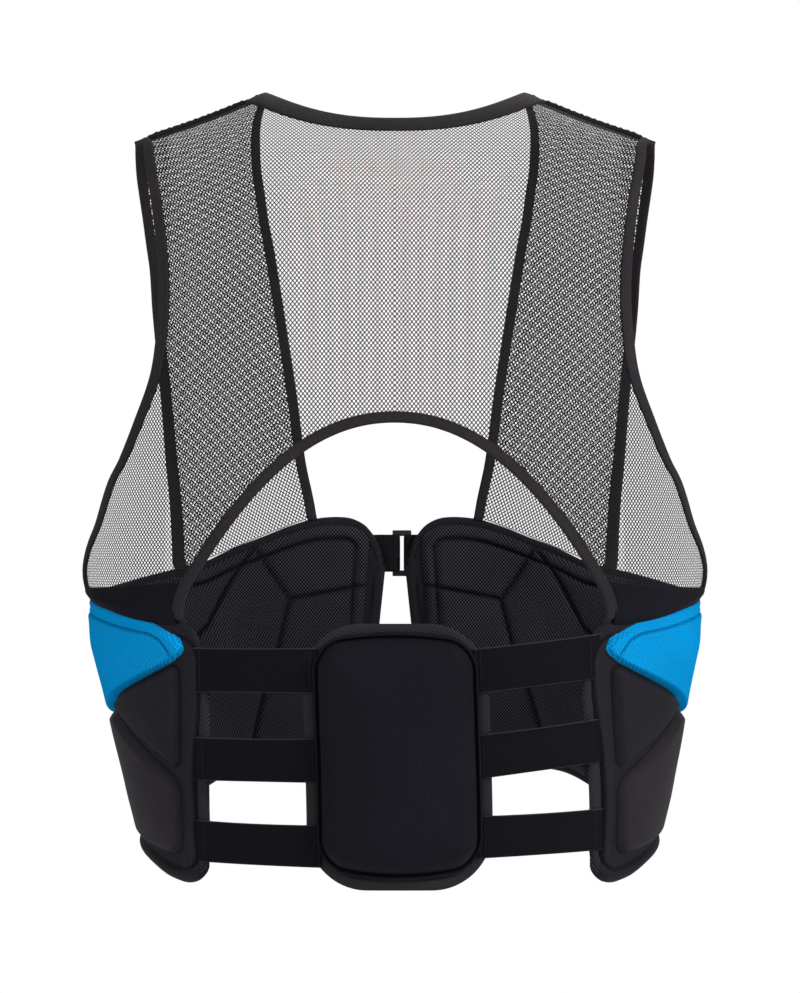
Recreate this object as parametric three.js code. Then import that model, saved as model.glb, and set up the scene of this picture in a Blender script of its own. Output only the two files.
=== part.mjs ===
// Rib protector vest, in millimetres, +Z up.
// The origin is midway between the two shoulder seams, where the vest sits on the wearer.
// The wearer's back faces -Y, the chest faces +Y and the wearer's right side is +X.
import * as THREE from 'three';

// Torso that the vest is shaped round
const torsoHalfWidth = 197;
const torsoBackDepth = 126;
const torsoFrontDepth = 130;
const torsoHeight = 475;
const torsoSquareness = 2.3;
const shoulderRoll = 110;

// Shoulders and neck
const neckHalfWidth = 85;
const neckPointRise = 14;
const shoulderHalfWidth = 163;
const shoulderTipDrop = 10;
const backNeckDip = 26;
const neckCurvePower = 2.4;

// Cloth
const meshThickness = 1.2;
const gussetThickness = 1.4;
const bindingThickness = 2.4;
const neckBindingWidth = 8;
const armholeBindingWidth = 7;
const frontEdgeBindingWidth = 6;
const archBindingWidth = 7;
const seamTapeWidth = 13;
const seamTapeThickness = 2.6;
const clothGap = 0.8;

// Arch cut out of the back mesh
const archTopDrop = 194;
const archHalfWidth = 127;
const archPower = 2.12;

// Wrap-round side shells
const wingBackHalfGap = 115;
const wingFrontHalfGap = 10;
const wingTopDrop = 257;
const wingHeight = 218;
const shellThickness = 4.5;
const liningThickness = 3.7;
const liningInset = 7;
const layerGap = 0.6;

// Raised pads on the shells
const padRise = 6;
const padBevel = 5;
const padEdgeShare = 0.4;
const padFlange = 14;
const padChannel = 3;
const upperPadBand = 71;
const upperPadInset = 1.5;
const triangleDrop = 83;
const lowerFlange = 13;
const frontChannelAngle = 42;

// Pad over the lower spine
const backPadDrop = 400;
const backPadRimHalfWidth = 57;
const backPadRimHeight = 160;
const backPadRimRadius = 26;
const backPadRimThickness = 5;
const cushionHalfWidth = 48.5;
const cushionHeight = 144;
const cushionRadius = 22;
const cushionEdge = 9;
const cushionCrown = 20;

// Elastic straps across the back
const strapWidth = 26.5;
const strapThickness = 1.6;
const strapLap = 9;
const strapSeatGap = 1.5;
const rightStrapRise = 6;
const strapDrops = [348, 402, 453];

// Webbing closure between the front pads, its middle at a set drop below the top of the side shells
const closureReach = 24.5;
const closureDrop = wingTopDrop + closureReach;
const closureWebWidth = 25;
const closureWebThickness = 1.5;
const closureRingHeight = 32;
const closureRingBar = 2.5;
const closureRingOpening = 7;
const closureOffCentre = 4.5;
const closureSeatGap = 3;
const closureFoldShare = 0.6;
const fitGap = 0.3;

// The arch and the hem of the back mesh end at set drops below the top of the side shells
const archReach = 46;
const meshSideReach = 43;
const meshArchSideReach = 31;
const archHeight = wingTopDrop + archReach - archTopDrop;
const meshSideDrop = wingTopDrop + meshSideReach;
const meshArchSideDrop = wingTopDrop + meshArchSideReach;

// Torso outline: drop is a share of the torso height, the rest of the sizes they are named for
const torsoTable = [
  { drop: -0.06, width: 0.904, back: 0.885, front: 0.86 },
  { drop: 0.126, width: 0.893, back: 0.944, front: 0.9 },
  { drop: 0.253, width: 0.893, back: 0.984, front: 0.945 },
  { drop: 0.379, width: 0.919, back: 1.0, front: 0.975 },
  { drop: 0.463, width: 0.947, back: 1.0, front: 0.985 },
  { drop: 0.526, width: 0.972, back: 0.994, front: 0.99 },
  { drop: 0.589, width: 0.991, back: 0.988, front: 1.0 },
  { drop: 0.632, width: 0.993, back: 0.984, front: 1.0 },
  { drop: 0.655, width: 0.985, back: 0.982, front: 1.0 },
  { drop: 0.68, width: 0.971, back: 0.978, front: 1.0 },
  { drop: 0.747, width: 0.932, back: 0.965, front: 0.995 },
  { drop: 0.808, width: 0.904, back: 0.96, front: 0.99 },
  { drop: 0.853, width: 0.876, back: 0.96, front: 0.985 },
  { drop: 0.907, width: 0.848, back: 0.962, front: 0.975 },
  { drop: 0.981, width: 0.815, back: 0.968, front: 0.96 },
  { drop: 1.03, width: 0.8, back: 0.97, front: 0.95 },
];

// Edge of the back mesh along the armhole: angle is a share of the angle at the shoulder tip
const backArmholeTable = [
  { drop: 0.0, angle: 0.9 },
  { drop: 0.021, angle: 1.0 },
  { drop: 0.04, angle: 1.2 },
  { drop: 0.1, angle: 1.36 },
  { drop: 0.17, angle: 1.43 },
  { drop: 0.238, angle: 1.48 },
  { drop: 0.305, angle: 1.48 },
  { drop: 0.356, angle: 1.43 },
  { drop: 0.406, angle: 1.26 },
  { drop: 0.463, angle: 1.02 },
  { drop: 0.493, angle: 0.81 },
  { drop: 0.56, angle: 0.54 },
  { drop: 0.61, angle: 0.17 },
  { drop: 0.638, angle: 0.0 },
];

// Edges of the front mesh: outer and inner are shares of the shoulder and neck half-widths
const frontEdgeTable = [
  { drop: -0.03, outer: 1.0, inner: 1.0 },
  { drop: 0.021, outer: 1.0, inner: 1.015 },
  { drop: 0.046, outer: 1.005, inner: 1.02 },
  { drop: 0.154, outer: 0.988, inner: 0.988 },
  { drop: 0.257, outer: 0.967, inner: 0.906 },
  { drop: 0.365, outer: 0.933, inner: 0.812 },
  { drop: 0.461, outer: 0.908, inner: 0.74 },
  { drop: 0.53, outer: 0.883, inner: 0.659 },
  { drop: 0.62, outer: 0.871, inner: 0.6 },
];

// Top and bottom edge of a side shell: turn is a share of the quarter turn from the side,
// negative towards the back, and drop a share of the shell height below its highest point
const wingTopTable = [
  { turn: -0.63, drop: 0.43 },
  { turn: -0.603, drop: 0.362 },
  { turn: -0.585, drop: 0.317 },
  { turn: -0.558, drop: 0.292 },
  { turn: -0.5, drop: 0.288 },
  { turn: -0.44, drop: 0.285 },
  { turn: -0.34, drop: 0.279 },
  { turn: -0.22, drop: 0.266 },
  { turn: 0.0, drop: 0.247 },
  { turn: 0.28, drop: 0.211 },
  { turn: 0.54, drop: 0.151 },
  { turn: 0.58, drop: 0.138 },
  { turn: 0.66, drop: 0.094 },
  { turn: 0.73, drop: 0.06 },
  { turn: 0.79, drop: 0.028 },
  { turn: 0.85, drop: 0.004 },
  { turn: 0.915, drop: 0.0 },
  { turn: 0.948, drop: 0.02 },
  { turn: 0.967, drop: 0.055 },
  { turn: 0.985, drop: 0.115 },
];
const wingBottomTable = [
  { turn: -0.55, drop: 0.93 },
  { turn: -0.52, drop: 0.94 },
  { turn: -0.49, drop: 0.99 },
  { turn: -0.437, drop: 1.0 },
  { turn: -0.335, drop: 0.982 },
  { turn: -0.217, drop: 0.963 },
  { turn: 0.0, drop: 0.95 },
  { turn: 0.22, drop: 0.912 },
  { turn: 0.44, drop: 0.83 },
  { turn: 0.585, drop: 0.78 },
  { turn: 0.8, drop: 0.766 },
  { turn: 0.89, drop: 0.755 },
  { turn: 0.935, drop: 0.735 },
  { turn: 0.962, drop: 0.69 },
  { turn: 0.98, drop: 0.61 },
];

// Lower ends of the arch binding: out is a share of the arch half-width, drop of the arch height
const archTailTable = [
  { out: 1.014, drop: 1.065 },
  { out: 1.02, drop: 1.11 },
  { out: 1.018, drop: 1.145 },
];

const quarterTurn = 90;
const mix = (from, to, share) => from + (to - from) * share;
const clamp = (value, low, high) => Math.min(high, Math.max(low, value));

// Smooth curve through one column of a table
function along(table, key, column, at) {
  const last = table.length - 1;
  let row = 0;
  while (row < last - 1 && at > table[row + 1][key]) row += 1;
  const slope = (index) => {
    const before = table[Math.max(0, index - 1)];
    const after = table[Math.min(last, index + 1)];
    return (after[column] - before[column]) / (after[key] - before[key]);
  };
  const low = table[row];
  const high = table[row + 1];
  const span = high[key] - low[key];
  const s = clamp((at - low[key]) / span, 0, 1);
  const rise = s * s * (3 - 2 * s);
  const lead = s * (1 - s) * (1 - s) * slope(row) * span;
  const trail = s * s * (s - 1) * slope(row + 1) * span;
  return mix(low[column], high[column], rise) + lead + trail;
}

const torsoAt = (column, z) => along(torsoTable, 'drop', column, -z / torsoHeight);
const halfWidthAt = (z) => torsoHalfWidth * torsoAt('width', z);

// Height of the shoulder line over a point x from the centre
function shoulderLine(x) {
  const share = Math.max(0, (x - neckHalfWidth) / (shoulderHalfWidth - neckHalfWidth));
  return mix(neckPointRise, -shoulderTipDrop, share);
}

// Share of the torso depth that is reached at a drop below the shoulder line
function rollAt(drop) {
  const left = 1 - clamp(drop / shoulderRoll, 0, 1);
  return Math.sqrt(1 - left * left);
}

// Point on the right half of the torso: turn in degrees, -90 at the spine, 0 at the side, 90 at the chest
function torsoPoint(turn, z) {
  const angle = THREE.MathUtils.degToRad(clamp(turn, -quarterTurn, quarterTurn));
  const power = 2 / torsoSquareness;
  const x = halfWidthAt(z) * Math.max(0, Math.cos(angle)) ** power;
  const depth = turn < 0 ? torsoBackDepth * torsoAt('back', z) : torsoFrontDepth * torsoAt('front', z);
  const y = Math.sign(turn) * depth * Math.abs(Math.sin(angle)) ** power * rollAt(shoulderLine(x) - z);
  return new THREE.Vector3(x, y, z);
}

// Turn at which the torso is x away from the centre
function turnAt(x, z) {
  const share = clamp(Math.abs(x) / halfWidthAt(z), 0, 1);
  return THREE.MathUtils.radToDeg(Math.acos(share ** (torsoSquareness / 2)));
}

// Point a given height off the torso, on the side given by +1 or -1
function offTorso(side, turn, z, lift) {
  const turnStep = 0.2;
  const zStep = 0.2;
  const acrossStep = torsoPoint(turn + turnStep, z).sub(torsoPoint(turn - turnStep, z));
  const upStep = torsoPoint(turn, z + zStep).sub(torsoPoint(turn, z - zStep));
  const normal = acrossStep.cross(upStep).normalize();
  const point = torsoPoint(turn, z).addScaledVector(normal, lift);
  point.x *= side;
  return point;
}

// Height that lies a measured distance below z on the torso
function below(turn, z, distance) {
  const start = torsoPoint(turn, z);
  let low = z - distance;
  let high = z;
  for (let step = 0; step < 30; step += 1) {
    const middle = (low + high) / 2;
    if (torsoPoint(turn, middle).distanceTo(start) > distance) low = middle;
    else high = middle;
  }
  return high;
}

// Turn that lies a measured distance from another at the same height, towards -90 or +90
function beside(turn, z, distance, direction) {
  const start = torsoPoint(turn, z);
  let near = 0;
  let far = quarterTurn;
  for (let step = 0; step < 30; step += 1) {
    const middle = (near + far) / 2;
    if (torsoPoint(turn + direction * middle, z).distanceTo(start) > distance) far = middle;
    else near = middle;
  }
  return turn + direction * near;
}

// Closed slab of columns by rows, each point placed by its shares across, down and through it
function slab(columns, rows, place) {
  const geometry = new THREE.BoxGeometry(1, 1, 1, columns, rows, 1);
  const points = geometry.attributes.position;
  for (let index = 0; index < points.count; index += 1) {
    const across = Math.round((points.getX(index) + 0.5) * columns) / columns;
    const down = Math.round((0.5 - points.getY(index)) * rows) / rows;
    const through = Math.round(points.getZ(index) + 0.5);
    const spot = place(across, down, through);
    points.setXYZ(index, spot.x, spot.y, spot.z);
  }
  return facingOut(geometry);
}

// Turns the faces round where a mirrored placing has put them inside out
function facingOut(geometry) {
  const points = geometry.attributes.position;
  const order = geometry.index;
  const corner = (slot) => new THREE.Vector3().fromBufferAttribute(points, order.getX(slot));
  let volume = 0;
  for (let slot = 0; slot < order.count; slot += 3) {
    volume += corner(slot).dot(corner(slot + 1).cross(corner(slot + 2)));
  }
  if (volume < 0) {
    for (let slot = 0; slot < order.count; slot += 3) {
      const second = order.getX(slot + 1);
      order.setX(slot + 1, order.getX(slot + 2));
      order.setX(slot + 2, second);
    }
  }
  geometry.computeVertexNormals();
  return geometry;
}

// Ribbon through stations, each giving the turn and height of its two edges and the side it is on
function ribbon(stations, thickness) {
  const last = stations.length - 1;
  return slab(1, last, (across, down, through) => {
    const station = stations[Math.round(down * last)];
    const edge = across < 0.5 ? station.free : station.sewn;
    return offTorso(station.side, edge.turn, edge.z, mix(-0.5, 0.5, through) * thickness);
  });
}

// Rows crowd towards the shoulder, where the cloth rolls over
const rowCrowding = 1.7;
const rowShare = (down) => down ** rowCrowding;

// Back mesh: the centre columns run from the neckline to the arch, the side ones from the shoulder to the hem
const centreColumns = 7;
const sideColumns = 5;
const backRows = 15;
const columnCrowding = 1.4;
const centreShareOf = (column) => 1 - (1 - Math.min(1, column / centreColumns)) ** columnCrowding;
const armholeTurn = turnAt(shoulderHalfWidth, -shoulderTipDrop);
const backArmhole = (z) => -armholeTurn * along(backArmholeTable, 'drop', 'angle', -z / torsoHeight);
const seamEaseWidth = 11;
const seamEaseDepth = 15;
const seamEase = (drop) => seamEaseWidth * clamp(1 - drop / seamEaseDepth, 0, 1);
const tipEase = (z) => seamEase(-z - shoulderTipDrop);
const backMeshEdge = (z) => beside(backArmhole(z), z, armholeBindingWidth + clothGap + tipEase(z), -1);
const archEdge = (share) => -archTopDrop - archHeight * share ** archPower;
const meshHem = (share) => -mix(meshArchSideDrop, meshSideDrop, share);

// Height of the arch edge moved a distance up, square to it
function aboveArch(share, distance) {
  const slope = (archHeight * archPower / archHalfWidth) * share ** (archPower - 1);
  return archEdge(share) + distance * Math.sqrt(1 + slope * slope);
}

// Point of the back neckline moved a distance outwards: share is 0 at the spine and 1 at the neck point
function neckSpot(share, distance) {
  const width = neckHalfWidth + distance;
  const middle = below(-quarterTurn, neckPointRise - backNeckDip, distance);
  const z = mix(middle, shoulderLine(width), share ** neckCurvePower);
  return { x: share * width, z };
}

// Height at which a line down the torso leaves the edge of the shoulder tape
function tapeEdge(turnFor) {
  let z = 0;
  for (let step = 0; step < 6; step += 1) {
    const turn = turnFor(z);
    z = below(turn, shoulderLine(torsoPoint(turn, z).x), seamTapeWidth / 2 + clothGap);
  }
  return z;
}

// Turn and height of a point of the back mesh, for its column from the spine and its share down
function backMeshSpot(column, down) {
  const inCentre = column <= centreColumns;
  const middleShare = centreShareOf(column);
  const sideShare = Math.max(0, (column - centreColumns) / sideColumns);
  const neckEdge = neckSpot(middleShare, neckBindingWidth + clothGap);
  const archX = middleShare * archHalfWidth;
  const columnX = (z) => mix(neckEdge.x, archX, clamp((neckEdge.z - z) / (neckEdge.z + meshArchSideDrop), 0, 1));
  const turnFor = (z) => {
    const seamTurn = -turnAt(columnX(z), z);
    return inCentre ? seamTurn : mix(seamTurn, backMeshEdge(z), sideShare);
  };
  const seamTop = tapeEdge(turnFor);
  const top = inCentre ? Math.min(neckEdge.z, seamTop) : seamTop;
  const bottom = inCentre ? aboveArch(middleShare, archBindingWidth + clothGap) : meshHem(sideShare);
  const z = mix(top, bottom, rowShare(down));
  return { turn: inCentre && down === 1 ? -turnAt(archX, z) : turnFor(z), z };
}

function backMesh() {
  const halfColumns = centreColumns + sideColumns;
  return slab(2 * halfColumns, backRows, (across, down, through) => {
    const column = Math.round((2 * across - 1) * halfColumns);
    const spot = backMeshSpot(Math.abs(column), down);
    return offTorso(column < 0 ? -1 : 1, spot.turn, spot.z, -meshThickness * through);
  });
}

// Front mesh: one strap on each side, from the shoulder to the top edge of the shell
const frontColumns = 5;
const frontRows = 14;
const frontEdge = (column, size, z) => size * along(frontEdgeTable, 'drop', column, -z / torsoHeight);
const frontOuter = (z) => turnAt(frontEdge('outer', shoulderHalfWidth, z), z);
const frontInner = (z) => turnAt(frontEdge('inner', neckHalfWidth, z), z);
const wingTop = (turn) => -wingTopDrop - wingHeight * along(wingTopTable, 'turn', 'drop', turn / quarterTurn);
const wingBottom = (turn) => -wingTopDrop - wingHeight * along(wingBottomTable, 'turn', 'drop', turn / quarterTurn);

// Height at which a line down the torso, its turn given for each height, meets an edge
function meeting(turnFor, edgeFor, start) {
  let z = start;
  for (let step = 0; step < 12; step += 1) z = edgeFor(turnFor(z));
  return z;
}

const neckEase = (z) => seamEase(neckPointRise - z);
const frontMeshOuter = (z) => beside(frontOuter(z), z, armholeBindingWidth + clothGap + tipEase(z), 1);
const frontMeshInner = (z) => beside(frontInner(z), z, frontEdgeBindingWidth + clothGap + neckEase(z), -1);

function frontMesh(side) {
  return slab(frontColumns, frontRows, (across, down, through) => {
    const turnFor = (z) => mix(frontMeshInner(z), frontMeshOuter(z), across);
    const top = tapeEdge(turnFor);
    const bottom = meeting(turnFor, wingTop, -wingTopDrop) + clothGap;
    const z = mix(top, bottom, rowShare(down));
    return offTorso(side, turnFor(z), z, -meshThickness * through);
  });
}

// Tape over the shoulder seam, from the neck binding to the armhole binding
function shoulderSeam(side) {
  const start = neckHalfWidth + neckBindingWidth + clothGap;
  const end = shoulderHalfWidth - armholeBindingWidth - clothGap;
  return slab(6, 4, (across, down, through) => {
    const x = mix(start, end, across);
    const seam = shoulderLine(x);
    const reach = Math.abs(2 * down - 1) * seamTapeWidth / 2;
    const face = down < 0.5 ? -1 : 1;
    const turn = face * turnAt(x, seam);
    const z = reach > 0 ? below(turn, seam, reach) : seam;
    return offTorso(side, turn, z, mix(-0.5, 0.5, through) * seamTapeThickness);
  });
}

// Armhole binding: up the front strap, over the shoulder and down the back mesh
function armholeStations(side) {
  const stations = [];
  const frontSewn = (z) => beside(frontOuter(z), z, armholeBindingWidth, 1);
  const frontBottom = meeting(frontSewn, wingTop, -wingTopDrop) + clothGap;
  const tip = -shoulderTipDrop;
  for (let row = frontRows; row >= 1; row -= 1) {
    const z = mix(tip, frontBottom, rowShare(row / frontRows));
    stations.push({ side, free: { turn: frontOuter(z), z }, sewn: { turn: frontSewn(z), z } });
  }
  const sewnX = shoulderHalfWidth - armholeBindingWidth;
  const sewnZ = shoulderLine(sewnX);
  stations.push({
    side,
    free: { turn: -armholeTurn, z: tip },
    sewn: { turn: -turnAt(sewnX, sewnZ), z: sewnZ },
  });
  for (let row = 1; row <= backRows; row += 1) {
    const z = mix(tip, -meshSideDrop, rowShare(row / backRows));
    const free = backArmhole(z);
    stations.push({ side, free: { turn: free, z }, sewn: { turn: beside(free, z, armholeBindingWidth, -1), z } });
  }
  return stations;
}

// Half of the neck binding: up the front strap's inner edge, then along the back neckline
function neckStations(side) {
  const stations = [];
  const bottom = meeting(frontInner, wingTop, -wingTopDrop) + clothGap;
  for (let row = frontRows; row >= 1; row -= 1) {
    const z = mix(neckPointRise, bottom, rowShare(row / frontRows));
    const free = frontInner(z);
    stations.push({ side, free: { turn: free, z }, sewn: { turn: beside(free, z, frontEdgeBindingWidth, -1), z } });
  }
  const place = (spot) => ({ turn: -turnAt(spot.x, spot.z), z: spot.z });
  for (let column = centreColumns; column >= 0; column -= 1) {
    const share = centreShareOf(column);
    stations.push({ side, free: place(neckSpot(share, 0)), sewn: place(neckSpot(share, neckBindingWidth)) });
  }
  return stations;
}

// The neck binding runs from one front strap round the neck to the other
function neckBinding() {
  return ribbon([...neckStations(-1), ...neckStations(1).reverse().slice(1)], bindingThickness);
}

// Line of the arch's free edge on the right, as flat x and z, with the same line moved outwards
function archLine() {
  const line = [];
  for (let column = 0; column <= centreColumns; column += 1) {
    const share = centreShareOf(column);
    const x = share * archHalfWidth;
    const sewn = new THREE.Vector2(x, aboveArch(share, archBindingWidth));
    line.push({ free: new THREE.Vector2(x, archEdge(share)), sewn });
  }
  const tail = archTailTable.map(
    (row) => new THREE.Vector2(row.out * archHalfWidth, -archTopDrop - row.drop * archHeight),
  );
  tail.forEach((free, index) => {
    const before = index === 0 ? line[centreColumns].free : tail[index - 1];
    const after = tail[Math.min(tail.length - 1, index + 1)];
    const run = after.clone().sub(before).normalize();
    const sewn = free.clone().add(new THREE.Vector2(-run.y, run.x).multiplyScalar(archBindingWidth));
    line.push({ free, sewn });
  });
  return line;
}

function archBinding() {
  const place = (point) => ({ turn: -turnAt(point.x, point.y), z: point.y });
  const half = (side) => archLine().map((row) => ({ side, free: place(row.free), sewn: place(row.sewn) }));
  return ribbon([...half(-1).reverse(), ...half(1).slice(1)], bindingThickness);
}

// Gusset between the mesh hem, the arch binding and the top edge of the shell
function gusset(side) {
  const edge = archLine().map((row) => ({ drop: -row.sewn.y, out: row.sewn.x }));
  const hemStart = -turnAt(archHalfWidth, -meshArchSideDrop);
  const hemEnd = backMeshEdge(-meshSideDrop);
  const hemAt = (turn) => meshHem(clamp((turn - hemStart) / (hemEnd - hemStart), 0, 1)) - clothGap;
  const innerTurn = (z) => beside(-turnAt(along(edge, 'drop', 'out', -z), z), z, clothGap, 1);
  const topZ = meeting(innerTurn, hemAt, -meshArchSideDrop);
  const bottomZ = meeting(innerTurn, (turn) => wingTop(turn) + clothGap, -meshSideDrop);
  return slab(8, 4, (across, down, through) => {
    const inner = innerTurn(mix(topZ, bottomZ, down));
    const turn = mix(inner, 0, across);
    const top = hemAt(mix(innerTurn(topZ), 0, across));
    const bottom = wingTop(mix(innerTurn(bottomZ), 0, across)) + clothGap;
    return offTorso(side, turn, mix(top, bottom, down), -gussetThickness * through);
  });
}

const wingBackTurn = (z) => -turnAt(wingBackHalfGap, z);
const wingFrontTurn = (z) => turnAt(wingFrontHalfGap, z);

// Turn and height on a shell for shares from its back edge to its front edge and from top to bottom
function wingSpot(around, down) {
  const turnFor = (z) => mix(wingBackTurn(z), wingFrontTurn(z), around);
  const top = meeting(turnFor, wingTop, -wingTopDrop);
  const bottom = meeting(turnFor, wingBottom, -wingTopDrop - wingHeight);
  const z = mix(top, bottom, down);
  return { turn: turnFor(z), z };
}

function sideShell(side) {
  return slab(26, 8, (across, down, through) => {
    const spot = wingSpot(across, down);
    return offTorso(side, spot.turn, spot.z, -shellThickness * through);
  });
}

// Lining pad on the wearer's side of the shell, set in from its edges
function lining(side) {
  const outerFace = -shellThickness - layerGap;
  const middleZ = -wingTopDrop - wingHeight / 2;
  const sideInset = liningInset / girth(wingBackTurn(middleZ), wingFrontTurn(middleZ), middleZ);
  const endInset = liningInset / wingHeight;
  return slab(22, 6, (across, down, through) => {
    const spot = wingSpot(mix(sideInset, 1 - sideInset, across), mix(endInset, 1 - endInset, down));
    return offTorso(side, spot.turn, spot.z, outerFace - liningThickness * through);
  });
}

// Length round the torso between two turns at one height
function girth(fromTurn, toTurn, z) {
  const steps = 16;
  let length = 0;
  for (let step = 0; step < steps; step += 1) {
    const start = torsoPoint(mix(fromTurn, toTurn, step / steps), z);
    length += start.distanceTo(torsoPoint(mix(fromTurn, toTurn, (step + 1) / steps), z));
  }
  return length;
}

// Moves the grid line next to each border to a bevel's width from it
function bevelled(raw, cells, bevelShare) {
  const cell = 1 / cells;
  if (raw < cell / 2) return 0;
  if (raw > 1 - cell / 2) return 1;
  return mix(bevelShare, 1 - bevelShare, (raw - cell) / (1 - 2 * cell));
}

// Raised pad on a shell: its edges are turns at each height and heights at each turn
function raisedPad(side, columns, rows, edges) {
  const middleZ = -wingTopDrop - wingHeight / 2;
  const length = girth(edges.back(middleZ), edges.front(middleZ), middleZ);
  const middleTurn = mix(edges.back(middleZ), edges.front(middleZ), 0.5);
  const height = edges.top(middleTurn) - edges.bottom(middleTurn);
  return slab(columns, rows, (rawAcross, rawDown, through) => {
    const across = bevelled(rawAcross, columns, padBevel / length);
    const down = bevelled(rawDown, rows, padBevel / height);
    const turnFor = (z) => mix(edges.back(z), edges.front(z), across);
    const top = meeting(turnFor, edges.top, -wingTopDrop);
    const bottom = meeting(turnFor, edges.bottom, -wingTopDrop - wingHeight);
    const z = mix(top, bottom, down);
    const onBorder = across === 0 || across === 1 || down === 0 || down === 1;
    const rise = through * padRise * (onBorder ? padEdgeShare : 1);
    return offTorso(side, turnFor(z), z, layerGap + rise);
  });
}

// Seam below the upper pad: it climbs to the shell's back corner and runs level with the top elsewhere
const seamStartTurn = -50;
const seamLevelTurn = 4;
const upperCornerTurn = -39;
const upperCornerDrop = 13;
const seamCurvePower = 0.9;
function upperSeam(turn) {
  const share = clamp((turn - seamStartTurn) / (seamLevelTurn - seamStartTurn), 0, 1);
  return wingTop(turn) - mix(upperCornerDrop + 2 * padBevel, upperPadBand, share ** seamCurvePower);
}

const padBack = (z) => beside(wingBackTurn(z), z, padFlange, 1);
const padFront = (z) => beside(wingFrontTurn(z), z, padFlange, -1);
const padFoot = (turn) => wingBottom(turn) + lowerFlange;

function upperPad(side) {
  const cornerShare = (turn) => Math.max(0, (upperCornerTurn - turn) / (upperCornerTurn - seamStartTurn));
  const edges = {
    back: padBack,
    front: padFront,
    top: (turn) => wingTop(turn) - upperPadInset - upperCornerDrop * cornerShare(turn) ** 2,
    bottom: (turn) => upperSeam(turn) - upperPadInset,
  };
  return raisedPad(side, 22, 5, edges);
}

// The triangle pad lies under the upper seam, and a slanting channel parts it from the lower pad
const triangleTurn = -13;
function slantAt(turn) {
  const backTurn = -turnAt(wingBackHalfGap + padFlange, -wingTopDrop - wingHeight / 2);
  const share = clamp((turn - backTurn) / (triangleTurn - backTurn), 0, 1);
  const high = upperSeam(backTurn) - triangleDrop;
  const low = upperSeam(triangleTurn) - 2 * padChannel;
  return mix(high, low, share);
}

function trianglePad(side) {
  const edges = {
    back: padBack,
    front: () => triangleTurn,
    top: (turn) => upperSeam(turn) - padChannel - upperPadInset,
    bottom: (turn) => slantAt(turn) + padChannel / 2,
  };
  return raisedPad(side, 8, 5, edges);
}

function lowerPad(side) {
  const edges = {
    back: padBack,
    front: () => frontChannelAngle,
    top: (turn) => Math.min(slantAt(turn) - padChannel / 2, upperSeam(turn) - padChannel - upperPadInset),
    bottom: padFoot,
  };
  return raisedPad(side, 14, 5, edges);
}

function frontPad(side) {
  const edges = {
    back: (z) => beside(frontChannelAngle, z, padChannel, 1),
    front: padFront,
    top: (turn) => upperSeam(turn) - padChannel - upperPadInset,
    bottom: padFoot,
  };
  return raisedPad(side, 10, 5, edges);
}

// Point of a rounded rectangle for a point of the square from -1 to 1, with how far out it lies
function roundedSpot(u, v, halfWidth, halfHeight, radius) {
  const ring = Math.max(Math.abs(u), Math.abs(v));
  if (ring === 0) return { x: 0, z: 0, ring };
  const edge = new THREE.Vector2((u / ring) * halfWidth, (v / ring) * halfHeight);
  const core = new THREE.Vector2(
    clamp(edge.x, radius - halfWidth, halfWidth - radius),
    clamp(edge.y, radius - halfHeight, halfHeight - radius),
  );
  const corner = edge.clone().sub(core);
  if (corner.x !== 0 && corner.y !== 0) edge.copy(core).addScaledVector(corner.normalize(), radius);
  return { x: edge.x * ring, z: edge.y * ring, ring };
}

// Rounded plate on the back of the torso, its outer height given by how far out a point lies
function backPlate(cells, size, under, over) {
  return slab(cells, cells, (across, down, through) => {
    const spot = roundedSpot(2 * across - 1, 1 - 2 * down, size.halfWidth, size.height / 2, size.radius);
    const z = spot.z - backPadDrop;
    const lift = through ? over(spot.ring) : under;
    return offTorso(spot.x < 0 ? -1 : 1, -turnAt(spot.x, z), z, lift);
  });
}

const rimSize = { halfWidth: backPadRimHalfWidth, height: backPadRimHeight, radius: backPadRimRadius };
const cushionSize = { halfWidth: cushionHalfWidth, height: cushionHeight, radius: cushionRadius };
const backPadRim = () => backPlate(10, rimSize, -backPadRimThickness, () => 0);
const cushionFlatness = 4;
const cushionRise = (ring) => {
  const domed = mix(cushionCrown, cushionEdge, ring ** cushionFlatness);
  return ring === 1 ? cushionEdge / 2 : domed;
};
const backPad = () => backPlate(12, cushionSize, layerGap, cushionRise);

// Elastic strap from the back pad's rim to the flange of a shell
function strap(side, drop) {
  const start = cushionHalfWidth + strapSeatGap;
  const end = wingBackHalfGap + strapLap;
  const rise = side > 0 ? rightStrapRise : 0;
  return slab(8, 2, (across, down, through) => {
    const x = mix(start, end, across);
    const z = -drop + rise * across + strapWidth * (0.5 - down);
    return offTorso(side, -turnAt(x, z), z, layerGap + strapThickness * through);
  });
}

// Closure: webbing from each shell folds round one bar of a ring in front of the gap
const barHalf = closureRingBar / 2;
const barReach = closureRingOpening / 2 + barHalf;
const foldRadius = barHalf * Math.SQRT2 + fitGap;
const closureAxisY = torsoPoint(quarterTurn, -closureDrop).y + layerGap + closureWebThickness + foldRadius;
const closureEnd = wingFrontHalfGap + padFlange - closureSeatGap;

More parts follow.
